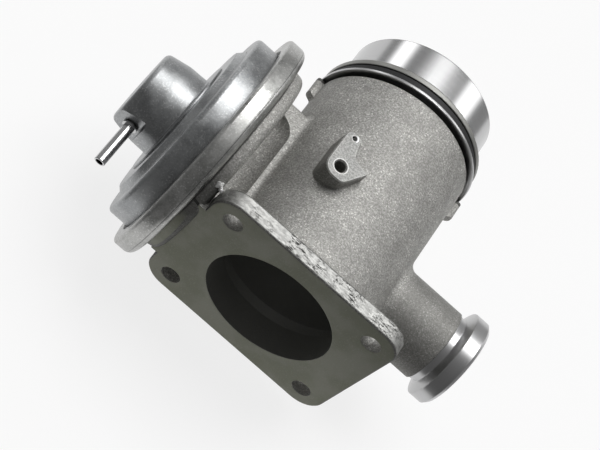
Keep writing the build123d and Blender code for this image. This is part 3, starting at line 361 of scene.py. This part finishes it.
GRAIN_SIZE = 0.80
GRAIN_RELIEF = 0.16              # depth of the grain and the pits, in millimetres
FEED_PITCH = 0.16
FEED_RELIEF = 0.004


def from_line(t, place, centre):
    """How far a point is from a line along Z through centre, and the way to it from there."""
    way = t.vector("SUBTRACT", place, centre)
    return t.length(t.vector("MULTIPLY", way, (1.0, 1.0, 0.0))), way


def casting_zones(t, place, facing):
    """Masks of the casting's places by name, each 1 in its place and easing to 0 at its border.

    The small numbers are the widths of these borders in millimetres.
    """
    x, y, z = t.split(place)
    _, facing_y, facing_z = t.split(facing)
    ax, az = t.math("ABSOLUTE", x), t.math("ABSOLUTE", z)
    duct_r = t.length(t.join(x, 0.0, z))
    tube_r = t.length(t.join(0.0, t.minus(y, STEM_Y), z))
    bolt_r = t.length(t.join(t.minus(ax, BOLT_X), 0.0, t.minus(az, BOLT_Z)))
    peg_r, peg_way = from_line(t, place, PEG_PLACE)
    thread_r, _ = from_line(t, place, THREAD_PLACE)
    toward_glint = t.vector("DOT_PRODUCT", peg_way, PEG_GLINT_WAY)
    ragged_x = t.plus(x, t.times(t.noise(place, 0.5, 3.0, 0.6), 0.9))
    hose_end = t.ease(y, BARREL_END_Y - 0.1, BARREL_END_Y)
    vband = t.ease(x, VBAND_START_X - 0.1, VBAND_START_X)
    on_barrel = t.ease(x, BARREL_SIDE_X - 0.1, BARREL_SIDE_X)
    boss_face = t.times(
        t.ease(z, BOSS_FACE_Z - 0.1, BOSS_FACE_Z - 0.05),
        t.ease(facing_z, 0.9, 0.95),
        on_barrel,
    )
    return {
        "along": t.blend(vband, y, x),
        "vband": vband,
        "turned": t.higher(hose_end, vband),
        "groove": t.within(y, BARREL_END_Y - 0.05, GROOVE_END_Y, 0.05),
        "lip": t.within(y, GROOVE_END_Y + 0.05, LIP_END_Y - 0.2, 0.1),
        "spigot_edge": t.ease(y, SPIGOT_END_Y - 1.15, SPIGOT_END_Y - 0.95),
        "bore": t.times(
            t.fade(duct_r, DUCT_INSIDE_R, DUCT_INSIDE_R + 0.4),
            t.ease(y, 0.06, 0.3),
            t.minus(1.0, hose_end),
        ),
        "tube": t.times(t.ease(x, *TUBE_ROOT_X), t.fade(tube_r, *TUBE_REACH_R)),
        "face": t.times(t.fade(y, 0.02, 0.06), t.fade(facing_y, -0.95, -0.9)),
        "face_edge": t.times(t.within(y, 0.04, 0.62, 0.05), t.fade(facing_y, -0.85, -0.5)),
        "rim": t.times(
            t.fade(y, FLANGE_T, FLANGE_T + 0.05),
            t.within(facing_y, -0.55, 0.55, 0.1),
            t.ease(bolt_r, BOLT_HOLE_R + 0.2, BOLT_HOLE_R + 1.0),
            t.higher(t.ease(ax, RIM_FROM_X, RIM_FROM_X + 1.0), t.ease(az, RIM_FROM_Z, RIM_FROM_Z + 1.0)),
            t.ease(x, 0.04 - FLANGE_HALF_X, 0.1 - FLANGE_HALF_X),
        ),
        "rim_wear": t.ease(x, *RIM_WEAR_X, 0.15, 0.72),
        "rim_lines": t.higher(t.fade(y, 0.5, 1.1), t.ease(y, FLANGE_T - 0.9, FLANGE_T - 0.3)),
        "hollow": t.times(
            t.fade(x, -FLANGE_HALF_X, 0.02 - FLANGE_HALF_X),
            t.fade(y, *HOLLOW_Y),
        ),
        "pad_line": t.fade(ragged_x, PAD_FACE_X + 0.9, PAD_FACE_X + 1.3),
        "boss_side": t.times(
            t.within(x, *BOSS_SPAN_X, 1.0),
            t.within(y, *BOSS_SPAN_Y, 1.0),
            t.ease(z, BOSS_LOW_Z, BOSS_LOW_Z + 1.0),
            t.ease(duct_r, BARREL_R + 0.1, BARREL_R + 0.8),
        ),
        "boss_face": boss_face,
        "boss_top": t.times(t.ease(z, BOSS_FACE_Z - 1.3, BOSS_FACE_Z - 0.7), on_barrel),
        "thread_chamfer_highlight": t.within(thread_r, *THREAD_HIGHLIGHT_R, 0.15),
        "peg_hole": t.times(
            t.fade(peg_r, PEG_WALL_R, PEG_WALL_R + 0.1),
            t.fade(z, BOSS_FACE_Z - 0.2, BOSS_FACE_Z - 0.1),
        ),
        "peg_painted_lit_side": t.ease(toward_glint, -0.2, 0.35),
        "peg_painted_glint": t.times(
            t.within(peg_r, *PEG_GLINT_R, 0.15),
            t.ease(toward_glint, 0.6, 1.0),
            boss_face,
        ),
    }


def rim_pits(t, place):
    """Pits of the flange's rim, in clusters."""
    clusters = t.ease(t.noise(place, 0.16, 2.0, 0.5), 0.40, 0.56, 0.25, 1.0)
    return t.times(t.group(PITTING, Place=place, Size=1.3, Share=0.75)["Pit"], clusters)


def casting_colour(t, place, zone, grain, edges, marks, pits):
    """Colour of the casting: each machined or trimmed place's own, laid over the skin's in turn. Painted
    shade darkens the creases, the tube's root, the boss's sides, the recess by the pad, the pad's gap
    line, the groove, the rim's and face's edge lines, the flange face, the bore and one side of the peg
    hole; painted highlights light the boss's edge, the thread's chamfer and the peg hole's glint.
    """
    # edge mask for the boss's painted highlight
    boss_highlight_edge = t.ease(t.group(EDGE_BREAK, Width=1.0)["Edge"], 0.05, 0.3)
    stain = t.ease(t.noise(place, 0.045, 3.0, 0.6), 0.38, 0.62)
    smear = t.noise(t.vector("MULTIPLY", place, (0.35, 0.8, 0.35)), 1.0, 3.0, 0.6)
    skin = t.coats(t.mix(t.ease(grain["Mottle"], 0.36, 0.64), *SKIN_TONES), (
        (grain["Sparkle"], 0.75, SPARKLE_TONE),
        (zone["tube"], 0.50, TUBE_PAINTED_SHADE),
        (zone["boss_side"], 0.42, BOSS_SIDE_PAINTED_SHADE),
        (zone["hollow"], 0.7, HOLLOW_PAINTED_SHADE),
        (edges["Edge"], 0.45, RUBBED_EDGE),
        (edges["Crease Shade"], 0.55, CREASE_PAINTED_SHADE),
        (zone["pad_line"], 0.85, PIT_DIRT_AND_PAINTED_SHADE),
    ))
    face = t.coats(t.mix(stain, *FACE_TONES_WITH_PAINTED_SHADE), (
        (t.ease(grain["Mottle"], 0.52, 0.66), 0.35, FACE_FLECK),
    ))
    rim = t.coats(t.mix(t.ease(smear, 0.36, 0.62), *RIM_TONES), (
        (pits, zone["rim_wear"], PIT_DIRT_AND_PAINTED_SHADE),
        (zone["rim_lines"], 0.8, PIT_DIRT_AND_PAINTED_SHADE),
    ))
    milled = t.coats(t.mix(t.ease(grain["Mottle"], 0.38, 0.62), *MILLED_TONES), (
        (zone["thread_chamfer_highlight"], 0.8, THREAD_CHAMFER_PAINTED_HIGHLIGHT),
    ))
    return t.coats(skin, (
        (zone["turned"], 1.0, t.mix(marks["Streak"], *TURNED_TONES)),
        (zone["groove"], 1.0, GROOVE_PAINTED_SHADE),
        (zone["lip"], 1.0, LIP_TONE),
        (zone["spigot_edge"], 1.0, SPIGOT_EDGE_TONE),
        (zone["peg_hole"], 1.0, t.mix(zone["peg_painted_lit_side"], *PEG_HOLE_PAINTED_SHADE_AND_HIGHLIGHT)),
        (zone["face"], 1.0, face),
        (zone["face_edge"], 1.0, PIT_DIRT_AND_PAINTED_SHADE),
        (zone["rim"], 1.0, rim),
        (zone["boss_face"], 1.0, milled),
        (t.times(boss_highlight_edge, zone["boss_top"]), 0.85, BOSS_EDGE_PAINTED_HIGHLIGHT),
        (zone["peg_painted_glint"], 1.0, PAINTED_GLINT_TONE),
        (zone["bore"], 1.0, BORE_PAINTED_SHADE),
    ))


def casting_roughness(t, zone, grain, marks, pits):
    """Roughness of the casting, in the same way as its colour."""
    rough = t.blend(grain["Mottle"], 0.54, 0.68)
    for mask, value in (
        (zone["turned"], t.blend(marks["Streak"], 0.16, 0.26)),
        (t.times(zone["vband"], 0.6), 0.36),
        (t.higher(zone["lip"], zone["groove"]), 0.46),
        (zone["face"], 0.55),
        (zone["rim"], t.blend(pits, 0.48, 0.8)),
        (zone["boss_face"], 0.58),
    ):
        rough = t.blend(mask, rough, value)
    return rough


def cast_housing():
    """The casting: sand-grained skin, with turned, milled and trimmed places by where they lie."""
    material, t, shader = new_material("cast aluminium housing")
    place, facing = t.place()
    zone = casting_zones(t, place, facing)
    grain = t.group(SAND_GRAIN, Place=place, Size=GRAIN_SIZE)
    edges = t.group(EDGE_BREAK, Width=0.45)
    marks = t.group(TURNING, Along=zone["along"], Place=place, Pitch=FEED_PITCH)
    pits = rim_pits(t, place)
    relief = t.times(grain["Height"], t.minus(1.0, t.higher(zone["turned"], zone["face"])))
    relief = t.minus(relief, t.times(zone["rim"], pits, 1.5))
    normal = t.bump(relief, GRAIN_RELIEF, 0.8, edges["Normal"])
    normal = t.bump(t.times(zone["turned"], marks["Height"]), FEED_RELIEF, 0.6, normal)
    t.put(shader.inputs["Base Color"], casting_colour(t, place, zone, grain, edges, marks, pits))
    t.put(shader.inputs["Roughness"], casting_roughness(t, zone, grain, marks, pits))
    t.put(shader.inputs["Normal"], normal)
    t.put(shader.inputs["Metallic"], t.blend(t.higher(zone["turned"], zone["rim"]), 0.6, 1.0))
    return material


# laid in the plates' creases found by ambient occlusion: painted shade
PLATE_CREASE_PAINTED_SHADE = (0.05, 0.05, 0.05)
PLATE_SPARKLE_TONE = (0.9, 0.9, 0.9)
PLATE_RELIEF = 0.035
SEAM_TONE = (0.07, 0.07, 0.068)


def plated_sheet(name, light, dark, roughness, grain_size=0.6, sparkle=0.0, seam=None):
    """Pressed steel with a satin zinc plate: fine frosted grain, cloudy sheen, brighter edges, and painted
    shade in its creases.

    seam is the x of a dark wandering line, where one sheet ends on the next.
    """
    material, t, shader = new_material(name)
    place, _ = t.place()
    grain = t.group(SAND_GRAIN, Place=place, Size=grain_size)
    edges = t.group(EDGE_BREAK, Width=0.22)
    cloud = t.noise(place, 0.08, 4.0, 0.65)
    patchy = t.ease(t.plus(t.times(cloud, 0.65), t.times(grain["Mottle"], 0.35)), 0.32, 0.68)
    rubbed = tuple(min(1.0, c * 1.45) for c in light)
    layers = [(edges["Edge"], 0.5, rubbed), (edges["Crease Shade"], 0.7, PLATE_CREASE_PAINTED_SHADE)]
    height = t.plus(grain["Height"], t.times(t.noise(place, 0.22, 2.0, 0.5), 2.0))
    if seam is not None:
        wander = t.plus(t.split(place)[0], t.times(t.noise(place, 0.25, 2.0), 0.3))
        line = t.within(wander, seam, seam + 0.2, 0.16)
        layers.append((line, 0.6, SEAM_TONE))
        height = t.minus(height, t.times(line, 3.0))
    layers.append((grain["Sparkle"], sparkle, PLATE_SPARKLE_TONE))
    t.put(shader.inputs["Base Color"], t.coats(t.mix(patchy, dark, light), layers))
    t.put(shader.inputs["Roughness"], t.blend(t.ease(cloud, 0.3, 0.7), roughness - 0.07, roughness + 0.09))
    t.put(shader.inputs["Normal"], t.bump(height, PLATE_RELIEF, 0.7, edges["Normal"]))
    shader.inputs["Metallic"].default_value = 1.0
    return material


def turned_steel(name, light, dark, roughness, axis):
    """Turned or drawn metal with fine rings along one axis (0 x, 1 y, 2 z)."""
    material, t, shader = new_material(name)
    place, _ = t.place()
    marks = t.group(TURNING, Along=t.split(place)[axis], Place=place, Pitch=0.12)
    edges = t.group(EDGE_BREAK, Width=0.25)
    t.put(shader.inputs["Base Color"], t.mix(marks["Streak"], dark, light))
    t.put(shader.inputs["Roughness"], t.blend(marks["Streak"], roughness, roughness + 0.08))
    t.put(shader.inputs["Normal"], t.bump(marks["Height"], FEED_RELIEF, 0.7, edges["Normal"]))
    shader.inputs["Metallic"].default_value = 1.0
    return material


NIPPLE_TONES = ((0.50, 0.50, 0.51), (0.66, 0.66, 0.66))
# the nipple's bore is painted near black as shade
NIPPLE_BORE_PAINTED_SHADE = (0.004, 0.004, 0.004)


def drawn_tube():
    """The vacuum nipple: bright drawn tube, painted near black inside its bore as shade."""
    material, t, shader = new_material("drawn tube steel")
    place, _ = t.place()
    offset = t.vector("SUBTRACT", place, NIPPLE_PLACE)
    angle = math.radians(NIPPLE_ANGLE)
    axis = (0.0, math.cos(angle), math.sin(angle))
    along = t.vector("DOT_PRODUCT", offset, axis)
    from_axis = t.length(t.vector("SUBTRACT", offset, t.vector("SCALE", axis, scale=along)))
    marks = t.group(TURNING, Along=along, Place=place, Pitch=0.3)
    edges = t.group(EDGE_BREAK, Width=0.2)
    bore = t.fade(from_axis, NIPPLE_BORE_R + 0.05, NIPPLE_BORE_R + 0.15)
    outside = t.mix(marks["Streak"], *NIPPLE_TONES)
    t.put(shader.inputs["Base Color"], t.mix(bore, outside, NIPPLE_BORE_PAINTED_SHADE))
    t.put(shader.inputs["Roughness"], t.blend(bore, t.blend(marks["Streak"], 0.14, 0.22), 0.9))
    t.put(shader.inputs["Normal"], t.bump(marks["Height"], FEED_RELIEF, 0.6, edges["Normal"]))
    shader.inputs["Metallic"].default_value = 1.0
    return material


def dull_compound(name, light, dark, roughness, size, height):
    """Rubber, fibre, graphite or moulded plastic: fine grain over a slow change of tone."""
    material, t, shader = new_material(name)
    place, _ = t.place()
    grain = t.group(SAND_GRAIN, Place=place, Size=size)
    edges = t.group(EDGE_BREAK, Width=0.3)
    t.put(shader.inputs["Base Color"], t.mix(grain["Mottle"], dark, light))
    t.put(shader.inputs["Roughness"], t.blend(grain["Mottle"], roughness - 0.06, roughness + 0.08))
    t.put(shader.inputs["Normal"], t.bump(grain["Height"], height, 0.6, edges["Normal"]))
    return material


# near white, a painted highlight on the lumps of flash
FLASH_PAINTED_HIGHLIGHT_TONES = ((0.92, 0.92, 0.91), (0.98, 0.98, 0.97))


def flash_painted_highlight():
    """Cast flash painted near white as a highlight."""
    material, t, shader = new_material("cast flash painted bright")
    place, _ = t.place()
    grain = t.group(SAND_GRAIN, Place=place, Size=0.5)
    t.put(shader.inputs["Base Color"], t.mix(grain["Mottle"], *FLASH_PAINTED_HIGHLIGHT_TONES))
    t.put(shader.inputs["Normal"], t.bump(grain["Height"], 0.05, 0.5))
    shader.inputs["Metallic"].default_value = 0.3
    shader.inputs["Roughness"].default_value = 0.36
    return material


# ---- small pieces of the casting ----
LUMP_ROWS = 18
LUMP_COLUMNS = 28
POLE_GAP = 0.02                  # angle left open at each pole, closed by a flat face


def round_surface(name, points):
    """A mesh from a grid of points [rows, columns, 3], with its columns joined round."""
    rows, columns, _ = points.shape
    i, j = np.meshgrid(np.arange(rows - 1), np.arange(columns), indexing="ij")
    k = (j + 1) % columns
    corners = (i * columns + j, i * columns + k, (i + 1) * columns + k, (i + 1) * columns + j)
    faces = np.stack(corners, axis=-1).reshape(-1, 4)
    mesh = bpy.data.meshes.new(name)
    mesh.from_pydata(points.reshape(-1, 3).tolist(), [], faces.tolist())
    return mesh


def lump(name, centre, radii, turn, wave, material):
    """A lump of flash. Its surface is a sphere's, over latitude u and longitude v, stretched to
    three radii, with its radius raised by wave times sin(3 v) sin(2 u), and turned about Z."""
    u = np.linspace(POLE_GAP, math.pi - POLE_GAP, LUMP_ROWS)[:, None]
    v = np.linspace(0.0, 2 * math.pi, LUMP_COLUMNS, endpoint=False)[None, :]
    swell = 1.0 + wave * np.sin(3 * v) * np.sin(2 * u)
    x = radii[0] * swell * np.sin(u) * np.cos(v)
    y = radii[1] * swell * np.sin(u) * np.sin(v)
    z = radii[2] * swell * np.cos(u) * np.ones_like(v)
    a = math.radians(turn)
    points = np.stack([x * math.cos(a) - y * math.sin(a), x * math.sin(a) + y * math.cos(a), z], axis=-1)
    mesh = round_surface(name, (points + np.array(centre)) * MM)
    work = bmesh.new()
    work.from_mesh(mesh)
    bmesh.ops.holes_fill(work, edges=work.edges, sides=0)
    bmesh.ops.recalc_face_normals(work, faces=work.faces)
    work.to_mesh(mesh)
    work.free()
    mesh.shade_smooth()
    mesh.materials.append(material)
    piece = bpy.data.objects.new(name, mesh)
    bpy.context.scene.collection.objects.link(piece)
    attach(piece, "housing")


def add_flash():
    """Two lumps of flash where the flange's lobe meets the pad, painted near white as a highlight."""
    finish = flash_painted_highlight()
    lump("flash_high", (-48.9, 7.6, 31.8), (1.5, 1.3, 2.0), 25, 0.25, finish)
    lump("flash_low", (-47.0, 6.9, 30.8), (1.2, 0.9, 1.2), -20, 0.2, finish)


def dress(node, material):
    """Gives a solid's every material slot this finish."""
    slots = NODES[node].data.materials
    slots.clear()
    slots.append(material)


def dress_solids():
    """Finishes for all the solids: name, light tone, dark tone, roughness and the finish's sizes."""
    plate = plated_sheet(
        "plated cover steel", (0.45, 0.46, 0.465), (0.25, 0.257, 0.262), 0.35,
        grain_size=0.9, sparkle=0.35,
    )
    rolled = plated_sheet(
        "plated rolled band", (0.56, 0.56, 0.545), (0.31, 0.312, 0.30), 0.34,
        grain_size=0.9, sparkle=0.5, seam=CRIMP_SEAM_X,
    )
    screw = plated_sheet("screw steel", (0.55, 0.55, 0.56), (0.42, 0.42, 0.43), 0.32)
    stainless = turned_steel("turned stainless", (0.62, 0.61, 0.60), (0.48, 0.47, 0.46), 0.24, 0)
    clip = turned_steel("rolled spring steel", (0.55, 0.55, 0.55), (0.38, 0.38, 0.38), 0.28, 1)
    wire = turned_steel("spring wire", (0.50, 0.50, 0.52), (0.38, 0.38, 0.40), 0.28, 0)
    seal = dull_compound(
        "black seal rubber", (0.010, 0.010, 0.011), (0.005, 0.005, 0.006), 0.55, 0.5, 0.02
    )
    bush = dull_compound("sintered bush", (0.30, 0.27, 0.23), (0.2, 0.18, 0.15), 0.5, 0.4, 0.03)
    graphite = dull_compound("graphite seal", (0.09, 0.09, 0.095), (0.05, 0.05, 0.055), 0.5, 0.3, 0.02)
    gasket = dull_compound("gasket fibre", (0.13, 0.125, 0.115), (0.05, 0.05, 0.045), 0.8, 0.6, 0.1)
    membrane = dull_compound(
        "diaphragm rubber", (0.05, 0.045, 0.04), (0.03, 0.028, 0.026), 0.6, 0.5, 0.05
    )
    cup = dull_compound("cup plastic", (0.07, 0.07, 0.074), (0.04, 0.04, 0.043), 0.45, 0.5, 0.02)
    seat = dull_compound("seat plastic", (0.07, 0.07, 0.074), (0.04, 0.04, 0.043), 0.45, 0.5, 0.02)
    finishes = {
        "valve_body": cast_housing(),
        "clip_ring": clip,
        "hose_seal": seal,
        "valve_seat": stainless,
        "poppet_valve": stainless,
        "soot_shield": stainless,
        "seal_retainer": stainless,
        "guide_bush": bush,
        "stem_seal": graphite,
        "base_gasket": gasket,
        "actuator_base": plate,
        "upper_cover": plate,
        "spring_tower": plate,
        "crimp_ring": rolled,
        "vacuum_nipple": drawn_tube(),
        "lower_plate": plate,
        "base_screws": screw,
        "shoulder_washer": screw,
        "stem_nut": screw,
        "diaphragm": membrane,
        "piston_cup": cup,
        "spring_seat": seat,
        "return_spring": wire,
    }
    for node, material in finishes.items():
        dress(node, material)


# ---- studio ----
CAMERA_PLACE = (-0.1134, -0.4141, 0.6636)
CAMERA_RIGHT = (0.7428, 0.4927, 0.4534)
CAMERA_UP = (-0.6572, 0.6658, 0.3532)
CAMERA_FOCAL = 119.33
CAMERA_SENSOR = 36.0


def add_camera():
    """The camera, turned by the directions of its frame's right and upper sides."""
    camera = bpy.data.cameras.new("camera")
    camera.sensor_width = CAMERA_SENSOR
    camera.lens = CAMERA_FOCAL
    holder = bpy.data.objects.new("camera", camera)
    bpy.context.scene.collection.objects.link(holder)
    right = Vector(CAMERA_RIGHT).normalized()
    up = Vector(CAMERA_UP)
    up = (up - right * up.dot(right)).normalized()
    turn = Matrix((right, up, right.cross(up))).transposed()
    holder.matrix_world = Matrix.Translation(CAMERA_PLACE) @ turn.to_4x4()
    bpy.context.scene.camera = holder


# (azimuth, elevation), width, height, soft edge in degrees, strength
PANELS = (
    ((5, 70), 44, 29, 3, 5.1),
    ((-20, 48), 34, 10, 5, 1.2),
    ((42, 29), 14, 24, 3, 2.5),
    ((-49, 14), 13, 18, 3, 2.6),
)
PANEL_AHEAD = 0.05               # cosine to a panel's middle below which it gives no light
BASE_LIGHT = 0.26
BASE_SLOPE = 0.14


def toward(azimuth, elevation):
    """The direction at an azimuth from +Y towards +X, and a height over the horizon, in degrees."""
    a, e = math.radians(azimuth), math.radians(elevation)
    return Vector((math.sin(a) * math.cos(e), math.cos(a) * math.cos(e), math.sin(e)))


def soft_panel(t, direction, centre, width, height, edge):
    """Share of a rectangular light seen in a direction: 1 inside, easing to 0 over edge degrees."""
    middle = toward(*centre)
    side = middle.cross(Vector((0, 0, 1))).normalized()
    rise = side.cross(middle)
    ahead = t.vector("DOT_PRODUCT", direction, tuple(middle))
    share = t.ease(ahead, PANEL_AHEAD, 2 * PANEL_AHEAD)
    for axis, span in ((side, width), (rise, height)):
        across = t.vector("DOT_PRODUCT", direction, tuple(axis))
        slope = t.math("ABSOLUTE", t.over(across, t.higher(ahead, PANEL_AHEAD)))
        reach = math.tan(math.radians(span / 2))
        soft = math.tan(math.radians(span / 2 + edge)) - reach
        share = t.times(share, t.fade(slope, reach - soft, reach + soft))
    return share


def studio_light():
    """Soft panels over a dim room, brighter towards +Y."""
    world = bpy.data.worlds.new("studio")
    bpy.context.scene.world = world
    world.use_nodes = True
    world.node_tree.nodes.clear()
    t = Tree(world.node_tree)
    direction = t.add("ShaderNodeTexCoord").outputs["Generated"]
    total = t.plus(BASE_LIGHT, t.times(t.split(direction)[1], BASE_SLOPE))
    for centre, width, height, edge, strength in PANELS:
        total = t.plus(total, t.times(soft_panel(t, direction, centre, width, height, edge), strength))
    shine = t.add("ShaderNodeBackground", {"Color": (1.0, 1.0, 1.0, 1.0), "Strength": total})
    t.add("ShaderNodeOutputWorld", {"Surface": shine.outputs[0]})


TABLE_CORNER = (-0.012, -0.137)  # nearest the camera
TABLE_TURN = 41.5                # of the table's first side from +X, in degrees
TABLE_SIDE = 0.60
TABLE_DROP = 0.1                 # under the valve, in millimetres
TABLE_TONE = (0.9, 0.9, 0.9, 1.0)
TABLE_GLOW = 0.80                # share of plain white that the camera sees on the table


def add_table():
    """A pale table top just under the valve, with one corner towards the camera."""
    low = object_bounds()[0][2] - TABLE_DROP * MM
    turn = math.radians(TABLE_TURN)
    along = np.array((math.cos(turn), math.sin(turn)))
    across = np.array((-math.sin(turn), math.cos(turn)))
    steps = ((0, 0), (1, 0), (1, 1), (0, 1))
    corners = [np.array(TABLE_CORNER) + TABLE_SIDE * (i * along + j * across) for i, j in steps]
    mesh = bpy.data.meshes.new("floor")
    mesh.from_pydata([(x, y, low) for x, y in corners], [], [(0, 1, 2, 3)])
    material, t, shader = new_material("pale floor")
    shader.inputs["Base Color"].default_value = TABLE_TONE
    shader.inputs["Roughness"].default_value = 0.9
    shader.inputs["Specular IOR Level"].default_value = 0.0
    path = t.add("ShaderNodeLightPath").outputs
    seen = t.higher(path["Is Camera Ray"], t.higher(path["Is Glossy Ray"], path["Is Transmission Ray"]))
    white = t.add("ShaderNodeEmission", {"Color": (1.0, 1.0, 1.0, 1.0), "Strength": 1.0})
    share = t.times(seen, TABLE_GLOW)
    mixed = t.add("ShaderNodeMixShader", {0: share, 1: shader.outputs[0], 2: white.outputs[0]})
    output = next(n for n in t.tree.nodes if n.type == "OUTPUT_MATERIAL")
    t.put(output.inputs["Surface"], mixed.outputs[0])
    mesh.materials.append(material)
    floor = bpy.data.objects.new("floor", mesh)
    bpy.context.scene.collection.objects.link(floor)


add_camera()
dress_solids()
add_flash()
studio_light()
add_table()
bpy.context.scene.view_settings.view_transform = "Standard"
